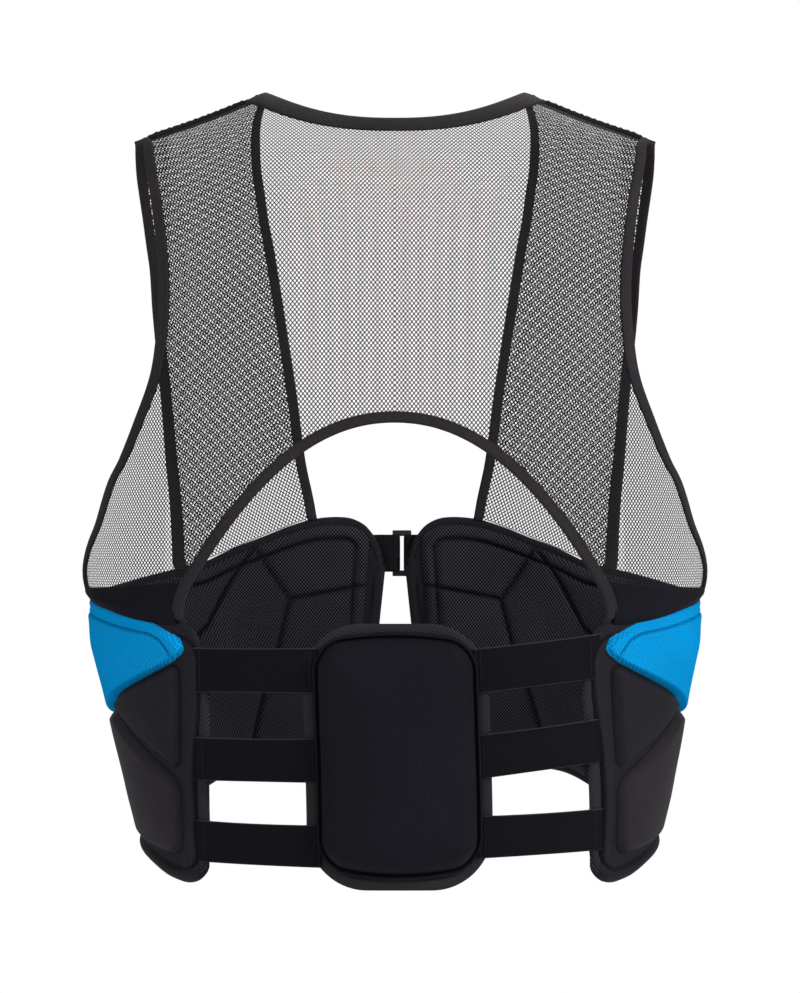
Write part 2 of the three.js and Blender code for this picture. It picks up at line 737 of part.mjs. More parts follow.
// Webbing folded round the bar on the side given by -1 or +1, seen from above and raised in Z
function foldedWeb(side) {
  const shape = new THREE.Shape();
  const fold = closureOffCentre + side * barReach;
  const inside = foldRadius;
  const outside = inside + closureWebThickness;
  const underEnd = side * closureEnd;
  const overEnd = mix(fold, underEnd, closureFoldShare);
  const steps = 6;
  const turned = (radius, step) => {
    const angle = Math.PI * (step / steps) - Math.PI / 2;
    return [fold - side * radius * Math.cos(angle), radius * Math.sin(angle)];
  };
  shape.moveTo(underEnd, -outside);
  for (let step = 0; step <= steps; step += 1) shape.lineTo(...turned(outside, step));
  shape.lineTo(overEnd, outside);
  shape.lineTo(overEnd, inside);
  for (let step = steps; step >= 0; step -= 1) shape.lineTo(...turned(inside, step));
  shape.lineTo(underEnd, -inside);
  const geometry = new THREE.ExtrudeGeometry(shape, { depth: closureWebWidth, bevelEnabled: false });
  geometry.translate(0, closureAxisY, -closureDrop - closureWebWidth / 2);
  return geometry;
}

function closureRing() {
  const outer = new THREE.Shape();
  const halfWidth = closureRingOpening / 2 + closureRingBar;
  const halfHeight = closureRingHeight / 2;
  outer.moveTo(-halfWidth, -halfHeight);
  outer.lineTo(halfWidth, -halfHeight);
  outer.lineTo(halfWidth, halfHeight);
  outer.lineTo(-halfWidth, halfHeight);
  outer.closePath();
  const inner = new THREE.Path();
  const openWidth = closureRingOpening / 2;
  const openHeight = halfHeight - closureRingBar;
  inner.moveTo(-openWidth, -openHeight);
  inner.lineTo(-openWidth, openHeight);
  inner.lineTo(openWidth, openHeight);
  inner.lineTo(openWidth, -openHeight);
  inner.closePath();
  outer.holes.push(inner);
  const geometry = new THREE.ExtrudeGeometry(outer, { depth: closureRingBar, bevelEnabled: false });
  geometry.rotateX(Math.PI / 2);
  geometry.translate(closureOffCentre, closureAxisY + barHalf, -closureDrop);
  return geometry;
}

const finish = (color, roughness) => new THREE.MeshStandardMaterial({ color, roughness, metalness: 0 });
const blackMesh = finish(0x1c1c20, 0.85);
const blackBinding = finish(0x26242a, 0.8);
const blackShell = finish(0x232228, 0.6);
const blackLining = finish(0x1a191e, 0.9);
const blueKnit = finish(0x0a86cf, 0.8);
const blackElastic = finish(0x16151b, 0.75);
const blackPlastic = finish(0x101012, 0.4);

const vest = new THREE.Group();
function add(name, geometry, material) {
  const piece = new THREE.Mesh(geometry, material);
  piece.name = name;
  vest.add(piece);
}

add('back_mesh', backMesh(), blackMesh);
add('neck_binding', neckBinding(), blackBinding);
add('arch_binding', archBinding(), blackBinding);
add('back_pad_rim', backPadRim(), blackShell);
add('back_pad', backPad(), blackShell);
for (const [name, side] of [['left', -1], ['right', 1]]) {
  add(`front_mesh_${name}`, frontMesh(side), blackMesh);
  add(`shoulder_seam_${name}`, shoulderSeam(side), blackBinding);
  add(`armhole_binding_${name}`, ribbon(armholeStations(side), bindingThickness), blackBinding);
  add(`gusset_${name}`, gusset(side), blackBinding);
  add(`side_shell_${name}`, sideShell(side), blackShell);
  add(`lining_${name}`, lining(side), blackLining);
  add(`upper_pad_${name}`, upperPad(side), blueKnit);
  add(`triangle_pad_${name}`, trianglePad(side), blackShell);
  add(`lower_pad_${name}`, lowerPad(side), blackShell);
  add(`front_pad_${name}`, frontPad(side), blackShell);
  strapDrops.forEach((drop, index) => add(`strap_${name}_${index + 1}`, strap(side, drop), blackElastic));
}
add('closure_web', foldedWeb(-1), blackElastic);
add('closure_tab', foldedWeb(1), blackElastic);
add('closure_ring', closureRing(), blackPlastic);

export default vest;
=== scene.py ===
"""Rib protector vest: the looks of each piece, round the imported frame. Metres, +Z up, its back to -Y."""

import logging
from dataclasses import dataclass, field
from enum import Enum
from typing import Callable, Iterable, Sequence

import bmesh
import bpy
import numpy as np
from mathutils import Matrix, Vector

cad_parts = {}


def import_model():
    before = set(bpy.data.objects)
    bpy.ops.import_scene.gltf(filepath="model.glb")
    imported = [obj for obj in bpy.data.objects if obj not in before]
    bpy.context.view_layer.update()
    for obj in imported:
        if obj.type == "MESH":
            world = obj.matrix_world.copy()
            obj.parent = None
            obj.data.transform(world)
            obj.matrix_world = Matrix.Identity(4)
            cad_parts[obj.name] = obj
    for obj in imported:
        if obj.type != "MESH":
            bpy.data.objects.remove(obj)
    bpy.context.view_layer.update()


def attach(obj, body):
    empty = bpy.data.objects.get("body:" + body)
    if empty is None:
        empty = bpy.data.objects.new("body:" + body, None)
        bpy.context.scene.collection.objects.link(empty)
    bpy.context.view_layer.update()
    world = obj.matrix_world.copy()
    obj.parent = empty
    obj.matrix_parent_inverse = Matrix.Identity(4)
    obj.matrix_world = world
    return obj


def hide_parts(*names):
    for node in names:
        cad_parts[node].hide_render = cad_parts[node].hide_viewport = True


log = logging.getLogger("rib_protector")
SIDES = {"left": -1, "right": 1}
FULL_TURN = 2 * np.pi
KNIT_LENGTH = 1.243
SPINE_TURN = -90.0
CHEST_TURN = 90.0
HALVINGS = 30
MEETING_ROUNDS = 14
WRAP_ROUNDS = 24
NORMAL_SAMPLE = 2000
GIRTH_LEVEL = -0.34

Number = float | np.ndarray
Signal = bpy.types.NodeSocket | float


def mix(start: Number, end: Number, share: Number) -> Number:
    """Return the value that lies a share of the way from start to end."""
    return start + (end - start) * share


def ease(share: np.ndarray) -> np.ndarray:
    """Return a smooth 0 to 1 step for a share, flat at both ends."""
    held = np.clip(share, 0, 1)
    return held * held * (3 - 2 * held)


def groove(distance: np.ndarray, width: float) -> np.ndarray:
    """Return a rounded valley: 1 at no distance, fading to 0 past its half-width."""
    return np.exp(-((distance / (width / 2)) ** 2))


def tone(red: int, green: int, blue: int) -> tuple[float, float, float]:
    """Turn a measured screen colour into the linear colour that a shader takes.

    Args:
        red: red from 0 to 255.
        green: green from 0 to 255.
        blue: blue from 0 to 255.

    Returns:
        The three linear shares.
    """
    shares = [value / 255 for value in (red, green, blue)]
    return tuple(s / 12.92 if s <= 0.04045 else ((s + 0.055) / 1.055) ** 2.4 for s in shares)


class Curve:
    """Smooth curve through a short table of (key, value) rows."""

    def __init__(self, rows: Sequence[tuple[float, float]]) -> None:
        """Keep the rows and work out a slope at each."""
        self.keys, self.values = (np.array(column, float) for column in zip(*rows))
        before = np.maximum(np.arange(len(rows)) - 1, 0)
        after = np.minimum(np.arange(len(rows)) + 1, len(rows) - 1)
        self.slopes = (self.values[after] - self.values[before]) / (self.keys[after] - self.keys[before])

    def __call__(self, at: np.ndarray) -> np.ndarray:
        """Return the value at a key, held level past both ends.

        Args:
            at: one key or an array of them.

        Returns:
            The values, in the shape of the keys.
        """
        at = np.asarray(at, float)
        row = np.clip(np.searchsorted(self.keys, at, side="left") - 1, 0, len(self.keys) - 2)
        span = self.keys[row + 1] - self.keys[row]
        s = np.clip((at - self.keys[row]) / span, 0, 1)
        lead = s * (1 - s) ** 2 * self.slopes[row] * span
        trail = s * s * (s - 1) * self.slopes[row + 1] * span
        return mix(self.values[row], self.values[row + 1], s * s * (3 - 2 * s)) + lead + trail


@dataclass(frozen=True)
class Torso:
    """Smooth torso that the vest is shaped round, flattened into turns and heights.

    A turn of -90 degrees is the spine, 0 the side and 90 the middle of the chest.
    """

    half_width: float = 0.197
    back_depth: float = 0.126
    front_depth: float = 0.130
    height: float = 0.475
    squareness: float = 2.3
    shoulder_roll: float = 0.110
    neck_half: float = 0.082
    neck_rise: float = 0.014
    shoulder_half: float = 0.166
    tip_drop: float = 0.0168
    shoulder_sag: float = 0.0016
    lean: float = 0.003
    lean_top: float = 0.32
    lean_run: float = 0.13
    widths: Curve = Curve(
        [(-0.06, 0.904), (0.126, 0.893), (0.253, 0.893), (0.379, 0.919), (0.463, 0.947), (0.526, 0.972),
         (0.55, 0.982), (0.57, 0.994), (0.589, 1.001), (0.611, 1.0045), (0.632, 0.999), (0.655, 0.985),
         (0.68, 0.971), (0.747, 0.932), (0.808, 0.904), (0.853, 0.876), (0.907, 0.848), (0.981, 0.815),
         (1.03, 0.8)])
    backs: Curve = Curve(
        [(-0.06, 0.885), (0.126, 0.944), (0.253, 0.984), (0.379, 1.0), (0.463, 1.0), (0.526, 0.994),
         (0.589, 0.988), (0.632, 0.984), (0.655, 0.982), (0.68, 0.978), (0.747, 0.965), (0.808, 0.96),
         (0.853, 0.96), (0.907, 0.962), (0.981, 0.968), (1.03, 0.97)])
    fronts: Curve = Curve(
        [(-0.06, 0.86), (0.126, 0.9), (0.253, 0.945), (0.379, 0.975), (0.463, 0.985), (0.526, 0.99),
         (0.589, 1.0), (0.632, 1.0), (0.655, 1.0), (0.68, 1.0), (0.747, 0.995), (0.808, 0.99),
         (0.853, 0.985), (0.907, 0.975), (0.981, 0.96), (1.03, 0.95)])

    def half_at(self, z: np.ndarray) -> np.ndarray:
        """Return half the torso's width at a height."""
        return self.half_width * self.widths(-np.asarray(z) / self.height)

    def shoulder_line(self, x: np.ndarray) -> np.ndarray:
        """Return the height of the shoulder over a point x from the centre."""
        share = np.maximum(0, (np.asarray(x) - self.neck_half) / (self.shoulder_half - self.neck_half))
        sag = self.shoulder_sag * np.sin(np.pi * np.minimum(share, 1))
        return mix(self.neck_rise, -self.tip_drop, share) - sag

    def roll(self, drop: np.ndarray) -> np.ndarray:
        """Return the share of the depth that is reached at a drop below the shoulder."""
        left = 1 - np.clip(drop / self.shoulder_roll, 0, 1)
        return np.sqrt(np.maximum(0, 1 - left * left))

    def point(self, turn: np.ndarray, z: np.ndarray) -> np.ndarray:
        """Place a turn and height on the right half of the torso.

        Args:
            turn: degrees from -90 at the spine to 90 at the chest.
            z: height.

        Returns:
            Points, with x, y and z along the last axis.
        """
        turn, z = np.broadcast_arrays(np.clip(turn, SPINE_TURN, CHEST_TURN), np.asarray(z, float))
        angle = np.radians(turn)
        power = 2 / self.squareness
        x = self.half_at(z) * np.maximum(0, np.cos(angle)) ** power
        level = -z / self.height
        depth = np.where(turn < 0, self.back_depth * self.backs(level), self.front_depth * self.fronts(level))
        rolled = self.roll(self.shoulder_line(x) - z)
        y = np.sign(turn) * depth * np.abs(np.sin(angle)) ** power * rolled
        return np.stack([x, y, z], axis=-1)

    def turn_at(self, x: np.ndarray, z: np.ndarray) -> np.ndarray:
        """Return the turn, taken towards the chest, at which the torso is x from the centre."""
        share = np.clip(np.abs(x) / self.half_at(z), 0, 1)
        return np.degrees(np.arccos(share ** (self.squareness / 2)))

    def lifted(self, side: np.ndarray, turn: np.ndarray, z: np.ndarray, lift: np.ndarray) -> np.ndarray:
        """Place points a height off the torso.

        Args:
            side: +1 on the right and -1 on the left.
            turn: degrees round the torso.
            z: height.
            lift: distance outwards, square to the surface.

        Returns:
            Points, with x, y and z along the last axis.
        """
        step = 0.2
        rise = 0.0002
        across = self.point(turn + step, z) - self.point(turn - step, z)
        upward = self.point(turn, z + rise) - self.point(turn, z - rise)
        normal = np.cross(across, upward)
        normal /= np.maximum(np.linalg.norm(normal, axis=-1, keepdims=True), 1e-12)
        spot = self.point(turn, z) + normal * np.asarray(lift)[..., None]
        spot[..., 0] *= side
        spot[..., 0] += self.lean * ease((-spot[..., 2] - self.lean_top) / self.lean_run)
        return spot

    def below(self, turn: np.ndarray, z: np.ndarray, distance: np.ndarray) -> np.ndarray:
        """Return the height that lies a measured distance down the torso from z.

        Args:
            turn: degrees round the torso.
            z: height to start from.
            distance: how far to go.

        Returns:
            The heights reached.
        """
        start = self.point(turn, z)
        high = np.asarray(z, float) + 0 * np.asarray(turn)
        low = high - distance
        for _ in range(HALVINGS):
            middle = (low + high) / 2
            far = np.linalg.norm(self.point(turn, middle) - start, axis=-1) > distance
            low = np.where(far, middle, low)
            high = np.where(far, high, middle)
        return high

    def beside(self, turn: np.ndarray, z: np.ndarray, distance: np.ndarray, way: int) -> np.ndarray:
        """Return the turn that lies a measured distance from another at the same height.

        Args:
            turn: degrees to start from.
            z: height.
            distance: how far to go.
            way: -1 towards the spine and +1 towards the chest.

        Returns:
            The turns reached.
        """
        start = self.point(turn, z)
        near = 0 * start[..., 0]
        far = near + CHEST_TURN
        for _ in range(HALVINGS):
            middle = (near + far) / 2
            over = np.linalg.norm(self.point(turn + way * middle, z) - start, axis=-1) > distance
            far = np.where(over, middle, far)
            near = np.where(over, near, middle)
        return turn + way * near


TORSO = Torso()


@dataclass(frozen=True)
class Pattern:
    """Cutting pattern of the vest: its seams and edges as turns and heights on the torso."""

    neck_dip: float = 0.0225
    neck_power: float = 2.4
    arch_top: float = 0.1984
    arch_height: float = 0.1046
    arch_half: float = 0.127
    arch_power: float = 2.12
    hem_side: float = 0.3005
    hem_arch: float = 0.2955
    hem_sag: float = 0.002
    wing_back: float = 0.115
    wing_front: float = 0.0089
    wing_top_drop: float = 0.257
    wing_height: float = 0.218
    pad_flange: float = 0.014
    seam_flange: float = 0.0185
    lower_flange: float = 0.0105
    corner_flange: float = 0.0175
    flange_turn: float = -42.0
    flange_run: float = 28.0
    front_spread: float = 0.0035
    spread_level: float = 0.312
    spread_run: float = 0.033
    back_flare: float = 0.0031
    flare_top: float = 0.36
    flare_run: float = 0.08
    channel: float = 0.003
    upper_band: float = 0.0745
    tip_height: float = 0.0035
    corner_drop: float = 0.0115
    inset: float = 0.0015
    triangle_drop: float = 0.086
    front_channel: float = 42.0
    seam_start: float = -50.0
    seam_level: float = 4.0
    seam_power: float = 0.86
    corner_turn: float = -39.0
    triangle_turn: float = -13.0
    back_armholes: Curve = Curve(
        [(0.0, 0.874), (0.021, 0.999), (0.04, 1.237), (0.06, 1.293), (0.09, 1.391), (0.12, 1.486),
         (0.17, 1.593), (0.238, 1.675), (0.305, 1.675), (0.356, 1.619), (0.406, 1.426), (0.463, 1.155),
         (0.493, 0.917), (0.56, 0.611), (0.61, 0.192), (0.638, 0.0)])
    front_outers: Curve = Curve(
        [(-0.03, 1.0), (0.021, 1.0), (0.051, 1.008), (0.075, 1.007), (0.1, 1.0), (0.133, 0.989),
         (0.166, 0.979), (0.2, 0.968), (0.257, 0.96), (0.365, 0.936), (0.461, 0.918), (0.53, 0.903),
         (0.62, 0.894)])
    front_inners: Curve = Curve(
        [(-0.03, 1.0), (-0.012, 1.05), (0.01, 1.08), (0.054, 1.083), (0.089, 1.058), (0.124, 1.033),
         (0.154, 1.0), (0.194, 0.962), (0.257, 0.906), (0.365, 0.812), (0.461, 0.74), (0.53, 0.659),
         (0.62, 0.6)])
    wing_tops: Curve = Curve(
        [(-0.63, 0.43), (-0.603, 0.362), (-0.585, 0.317), (-0.558, 0.292), (-0.5, 0.288), (-0.44, 0.282),
         (-0.34, 0.269), (-0.22, 0.252), (0.0, 0.230), (0.28, 0.197), (0.54, 0.148), (0.58, 0.137),
         (0.66, 0.094), (0.73, 0.06), (0.79, 0.028), (0.85, 0.004), (0.915, 0.0), (0.948, 0.02),
         (0.967, 0.055), (0.985, 0.115)])
    wing_bottoms: Curve = Curve(
        [(-0.55, 0.93), (-0.52, 0.945), (-0.49, 0.996), (-0.43, 1.027), (-0.335, 1.021), (-0.217, 0.993),
         (-0.1, 0.972), (0.0, 0.957), (0.22, 0.912), (0.44, 0.83), (0.585, 0.78), (0.8, 0.766), (0.89, 0.755),
         (0.935, 0.735), (0.962, 0.69), (0.98, 0.61)])

    def back_armhole(self, z: np.ndarray) -> np.ndarray:
        """Return the turn of the back armhole's edge at a height."""
        tip_turn = TORSO.turn_at(TORSO.shoulder_half, -TORSO.tip_drop)
        return -tip_turn * self.back_armholes(-np.asarray(z) / TORSO.height)

    def front_outer(self, z: np.ndarray) -> np.ndarray:
        """Return the turn of the front strap's armhole edge at a height."""
        return TORSO.turn_at(TORSO.shoulder_half * self.front_outers(-np.asarray(z) / TORSO.height), z)

    def front_inner(self, z: np.ndarray) -> np.ndarray:
        """Return the turn of the front strap's inner edge at a height."""
        return TORSO.turn_at(TORSO.neck_half * self.front_inners(-np.asarray(z) / TORSO.height), z)

    def neck_height(self, share: np.ndarray, outwards: float = 0.0) -> np.ndarray:
        """Return the height of the back neckline, moved outwards, for a share from spine to neck point."""
        middle = TORSO.below(np.array(SPINE_TURN), TORSO.neck_rise - self.neck_dip, outwards)
        return mix(middle, TORSO.shoulder_line(TORSO.neck_half + outwards), share**self.neck_power)

    def arch_edge(self, share: np.ndarray) -> np.ndarray:
        """Return the height of the arch's edge for a share of its half-width."""
        return -self.arch_top - self.arch_height * share**self.arch_power

    def above_arch(self, share: np.ndarray, distance: float) -> np.ndarray:
        """Return the height of the arch's edge moved a distance up, square to it."""
        slope = self.arch_height * self.arch_power / self.arch_half * share ** (self.arch_power - 1)
        return self.arch_edge(share) + distance * np.sqrt(1 + slope * slope)

    def hem(self, turn: np.ndarray) -> np.ndarray:
        """Return the height of the back net's hem at a turn.

        Args:
            turn: degrees round the torso.

        Returns:
            The heights.
        """
        start = -TORSO.turn_at(self.arch_half, -self.hem_arch)
        share = np.clip((turn - start) / -start, 0, 1)
        return -mix(self.hem_arch, self.hem_side, share) - self.hem_sag * np.sin(np.pi * share)

    def wing_top(self, turn: np.ndarray) -> np.ndarray:
        """Return the height of a side shell's top edge at a turn."""
        return -self.wing_top_drop - self.wing_height * self.wing_tops(turn / CHEST_TURN)

    def wing_bottom(self, turn: np.ndarray) -> np.ndarray:
        """Return the height of a side shell's bottom edge at a turn."""
        return -self.wing_top_drop - self.wing_height * self.wing_bottoms(turn / CHEST_TURN)

    def wing_back_turn(self, z: np.ndarray) -> np.ndarray:
        """Return the turn of a side shell's back edge at a height."""
        flare = self.back_flare * ease((-np.asarray(z) - self.flare_top) / self.flare_run)
        return -TORSO.turn_at(self.wing_back + flare, z)

    def wing_front_turn(self, z: np.ndarray) -> np.ndarray:
        """Return the turn of a side shell's front edge at a height; the two edges spread downwards."""
        spread = self.front_spread * np.clip((-np.asarray(z) - self.spread_level) / self.spread_run, -1, 1)
        return TORSO.turn_at(self.wing_front + spread, z)

    def upper_seam(self, turn: np.ndarray) -> np.ndarray:
        """Return the height of the seam under the blue pad at a turn.

        Args:
            turn: degrees round the torso.

        Returns:
            The heights.
        """
        share = np.clip((turn - self.seam_start) / (self.seam_level - self.seam_start), 0, 1)
        drop = mix(self.corner_drop + self.tip_height, self.upper_band, share**self.seam_power)
        return self.wing_top(turn) - drop

    def slant(self, turn: np.ndarray) -> np.ndarray:
        """Return the height of the slanting channel between the triangle and the lower pad.

        Args:
            turn: degrees round the torso.

        Returns:
            The heights.
        """
        middle = -self.wing_top_drop - self.wing_height / 2
        back = -TORSO.turn_at(self.wing_back + self.pad_flange, middle)
        share = np.clip((turn - back) / (self.triangle_turn - back), 0, 1)
        high = self.upper_seam(back) - self.triangle_drop
        return mix(high, self.upper_seam(self.triangle_turn) - 2 * self.channel, share)


PATTERN = Pattern()


def meeting(turn_for: Callable, edge_for: Callable, start: float) -> np.ndarray:
    """Find the height at which a line down the torso meets an edge.

    Args:
        turn_for: gives the line's turn for a height.
        edge_for: gives the edge's height for a turn.
        start: height to start looking from.

    Returns:
        The heights at which they meet.
    """
    z = start
    for _ in range(MEETING_ROUNDS):
        z = edge_for(turn_for(z))
    return z


class Weave(Enum):
    """Kinds of surface that the vest is made of."""

    JERSEY = "jersey"
    BIRDSEYE = "birdseye"
    SPACER = "spacer"
    ELASTIC = "elastic"
    WEBBING = "webbing"
    YARN = "yarn"
    MOULDED = "moulded"


HOLLOW_STEPS = {Weave.BIRDSEYE: (0.1, 0.75), Weave.SPACER: (-0.42, 0.3)}
CLOUD_SCALE = 14.0
LINT_SCALE = 420.0
FUZZ_SCALE = 900.0
GRAIN_SCALE = 2600.0
# Painted shade: share of a finish's colour left at the darkest point of the painted shade in seams and
# grooves.
SEAM_SHADE_SHARE = 0.12


@dataclass
class Desk:
    """Short way to lay out a material's nodes."""

    tree: bpy.types.NodeTree

    def node(self, kind: str, inputs: dict | None = None, **settings) -> bpy.types.Node:
        """Add a node.

        Args:
            kind: the node's type name without its common beginning.
            inputs: values or sockets for its inputs, by name or number.
            settings: the node's own options.

        Returns:
            The new node.
        """
        made = self.tree.nodes.new("ShaderNode" + kind)
        for key, value in settings.items():
            setattr(made, key, value)
        for key, value in (inputs or {}).items():
            if isinstance(value, bpy.types.NodeSocket):
                self.tree.links.new(value, made.inputs[key])
            else:
                made.inputs[key].default_value = value
        return made

    def math(self, operation: str, first: Signal, second: Signal = 0.0,
             third: Signal = 0.0) -> bpy.types.NodeSocket:
        """Return the result of a sum on sockets or numbers."""
        return self.node("Math", {0: first, 1: second, 2: third}, operation=operation).outputs[0]

    def noise(self, place: Signal, scale: float, detail: float = 2.0) -> bpy.types.NodeSocket:
        """Return soft noise at a place."""
        return self.node("TexNoise", {"Vector": place, "Scale": scale, "Detail": detail}).outputs[0]

    def wave(self, along: Signal, pitch: float, offset: float = 0.0) -> bpy.types.NodeSocket:
        """Return a cosine along a distance, with one crest to each pitch."""
        turned = self.math("MULTIPLY_ADD", along, FULL_TURN / pitch, offset)
        return self.math("COSINE", turned)

    def step(self, value: Signal, low: float, high: float) -> bpy.types.NodeSocket:
        """Return 0 below low and 1 above high, smooth between."""
        made = self.node("MapRange", {0: value, 1: low, 2: high}, interpolation_type="SMOOTHSTEP")
        return made.outputs[0]

    def blend(self, share: Signal, first: Signal | tuple, second: Signal | tuple) -> bpy.types.NodeSocket:
        """Return a colour between two."""
        made = self.node("Mix", {0: share, 6: first, 7: second}, data_type="RGBA")
        return made.outputs[2]


@dataclass(frozen=True)
class Finish:
    """One finish of the vest: its colour, its weave and how it takes the light."""

    name: str
    slot: str
    weave: Weave
    colour: tuple[float, float, float]
    roughness: float = 0.85
    sheen: float = 0.0
    pitch: float = 0.0016
    relief: float = 0.0002
    depth: float = 0.5
    variation: float = 0.12
    specular: float = 0.08

    def pattern(self, desk: Desk, u: Signal, v: Signal, place: Signal) -> tuple[Signal, Signal]:
        """Lay out the weave.

        Args:
            desk: where the nodes go.
            u: distance across the cloth.
            v: distance along the cloth.
            place: position on the object.

        Returns:
            The weave's height from 0 to 1, and how dark its hollows are.
        """
        if self.weave in HOLLOW_STEPS:
            dots = desk.math("MULTIPLY", desk.wave(u, self.pitch), desk.wave(v, self.pitch * KNIT_LENGTH))
            hollow = desk.step(dots, *HOLLOW_STEPS[self.weave])
            return desk.math("SUBTRACT", 1.0, hollow), hollow
        if self.weave is Weave.ELASTIC:
            ribs = desk.wave(u, self.pitch)
            weft = desk.wave(v, self.pitch * 0.7)
            height = desk.math("MULTIPLY_ADD", desk.math("MULTIPLY", ribs, weft), 0.5, 0.5)
            return height, desk.step(height, 0.6, 0.1)
        if self.weave is Weave.WEBBING:
            length = self.pitch * 3
            along = desk.math("FRACT", desk.math("DIVIDE", v, length))
            bow = desk.math("ABSOLUTE", desk.math("SUBTRACT", along, 0.5))
            twill = desk.wave(desk.math("MULTIPLY_ADD", bow, length, u), self.pitch)
            height = desk.math("MULTIPLY_ADD", twill, 0.5, 0.5)
            return height, desk.step(height, 0.55, 0.05)
        if self.weave is Weave.MOULDED:
            grain = desk.noise(place, GRAIN_SCALE)
            return grain, desk.math("MULTIPLY", grain, 0.2)
        rows = desk.wave(u, self.pitch)
        loops = desk.wave(v, self.pitch * 0.8, 1.0)
        fuzz = desk.noise(place, FUZZ_SCALE, 3.0)
        height = desk.math("MULTIPLY_ADD", desk.math("MULTIPLY", rows, loops), 0.3, fuzz)
        return height, desk.step(height, 0.55, 0.25)

    def material(self) -> bpy.types.Material:
        """Return the finish's material, made once.

        Returns:
            The material.
        """
        if self.name in bpy.data.materials:
            return bpy.data.materials[self.name]
        made = bpy.data.materials.new(self.name)
        made.use_nodes = True
        made.node_tree.nodes.clear()
        desk = Desk(made.node_tree)
        place = desk.node("TexCoord").outputs["Object"]
        flat = desk.node("SeparateXYZ", {0: desk.node("UVMap", uv_map="cloth").outputs[0]})
        height, hollow = self.pattern(desk, flat.outputs[0], flat.outputs[1], place)
        clouds = desk.noise(place, CLOUD_SCALE, 4.0)
        lint = desk.noise(place, LINT_SCALE, 2.0)
        lighter = tuple(min(1, c * (1 + self.variation) + 0.002 * self.variation) for c in self.colour)
        darker = tuple(c * (1 - self.variation) for c in self.colour)
        body = desk.blend(desk.step(clouds, 0.35, 0.65), (*darker, 1), (*lighter, 1))
        speck = desk.math("MULTIPLY", desk.step(lint, 0.62, 0.78), 0.35)
        dusty = desk.blend(speck, body, (*(min(1, c * 1.5 + 0.006) for c in self.colour), 1))
        deep = tuple(c * (1 - self.depth) for c in self.colour)
        woven = desk.blend(hollow, dusty, (*deep, 1))
        # Painted shade: a per-point attribute darkens the colour along seams, grooves and channels, where
        # shade would fall.
        seam_shade = desk.node("Attribute", attribute_name="seam_shade").outputs["Fac"]
        colour = desk.blend(seam_shade, woven, (*(c * SEAM_SHADE_SHARE for c in self.colour), 1))
        bump = desk.node("Bump", {"Strength": 0.6, "Distance": self.relief, "Height": height})
        rough = desk.math("MULTIPLY_ADD", clouds, 0.12, self.roughness - 0.06)
        shader = desk.node("BsdfPrincipled", {
            "Base Color": colour, "Roughness": rough, "Normal": bump.outputs[0],
            "Specular IOR Level": self.specular, "Sheen Weight": self.sheen, "Sheen Roughness": 0.45,
            "Sheen Tint": (*(min(1.0, 0.45 + 3 * c) for c in self.colour), 1),
        })
        desk.node("OutputMaterial", {"Surface": shader.outputs[0]})
        return made


BLACK_NET = Finish("black_net_yarn", "mesh", Weave.YARN, tone(30, 29, 32), 0.7, 0.02, 0.0006, 0.0001)
BINDING = Finish("black_binding_tape", "binding", Weave.JERSEY, tone(48, 44, 48), 0.8, 0.04, 0.0007, 0.00015)
SEAM_TAPE = Finish("black_folded_seam", "binding", Weave.SPACER, tone(38, 36, 40), 0.85, 0.03, 0.0016, 0.0003)
STRETCH = Finish(
    "black_stretch_gusset", "stretch", Weave.JERSEY, tone(22, 22, 29), 0.85, 0.02, 0.0008, 0.00012)
SHELL = Finish(
    "black_moulded_shell_cloth", "shell", Weave.JERSEY, tone(34, 32, 38), 0.75, 0.05, 0.0008, 0.0001)
PAD_BLACK = Finish(
    "black_moulded_pad_cloth", "pad_black", Weave.JERSEY, tone(31, 29, 35), 0.7, 0.04, 0.0008, 0.0001,
    specular=0.1)
PAD_HIP = Finish(
    "black_moulded_hip_cloth", "pad_black", Weave.JERSEY, tone(41, 37, 42), 0.7, 0.04, 0.0008, 0.0001,
    specular=0.1)
PAD_BLUE = Finish(
    "blue_birdseye_knit", "pad_blue", Weave.BIRDSEYE, tone(11, 147, 215), 0.85, 0.0, 0.0021, 0.0004, 0.46,
    variation=0.06, specular=0.0)
LINING = Finish(
    "black_spacer_lining", "lining", Weave.SPACER, tone(64, 63, 70), 0.85, 0.02, 0.0022, 0.0005, 0.97)
RIM = Finish("black_rim_knit", "shell", Weave.SPACER, tone(58, 58, 63), 0.9, 0.03, 0.0017, 0.0003, 0.85)
CUSHION = Finish("black_cushion_cloth", "shell", Weave.JERSEY, tone(22, 21, 29), 0.78, 0.03, 0.0008, 0.0001)
EDGE_YARN = Finish("grey_elastic_edge", "elastic", Weave.YARN, tone(46, 46, 53), 0.8, 0.03, 0.0006, 0.0001)
ELASTIC = Finish("black_elastic", "elastic", Weave.ELASTIC, tone(15, 14, 21), 0.8, 0.01, 0.0011, 0.0002, 0.4)
WEBBING = Finish("black_webbing", "webbing", Weave.WEBBING, tone(22, 21, 25), 0.7, 0.02, 0.0016, 0.0003, 0.6)
THREAD = Finish("black_thread", "binding", Weave.YARN, tone(44, 43, 47), 0.6, 0.02, 0.0005, 0.00005)
PLASTIC = Finish(
    "black_plastic", "plastic", Weave.MOULDED, tone(18, 18, 20), 0.38, 0.0, 0.001, 0.00005, 0.1,
    variation=0.05, specular=0.5)


def mesh_from(name: str, built: bmesh.types.BMesh) -> bpy.types.Mesh:
    """Turn a built shape into a named mesh and free it."""
    mesh = bpy.data.meshes.new(name)
    built.to_mesh(mesh)
    built.free()
    return mesh


def spots_of(mesh: bpy.types.Mesh) -> np.ndarray:
    """Return the place of each vertex of a mesh."""
    raw = np.empty(len(mesh.vertices) * 3, np.float32)
    mesh.vertices.foreach_get("co", raw)
    return raw.reshape(-1, 3)


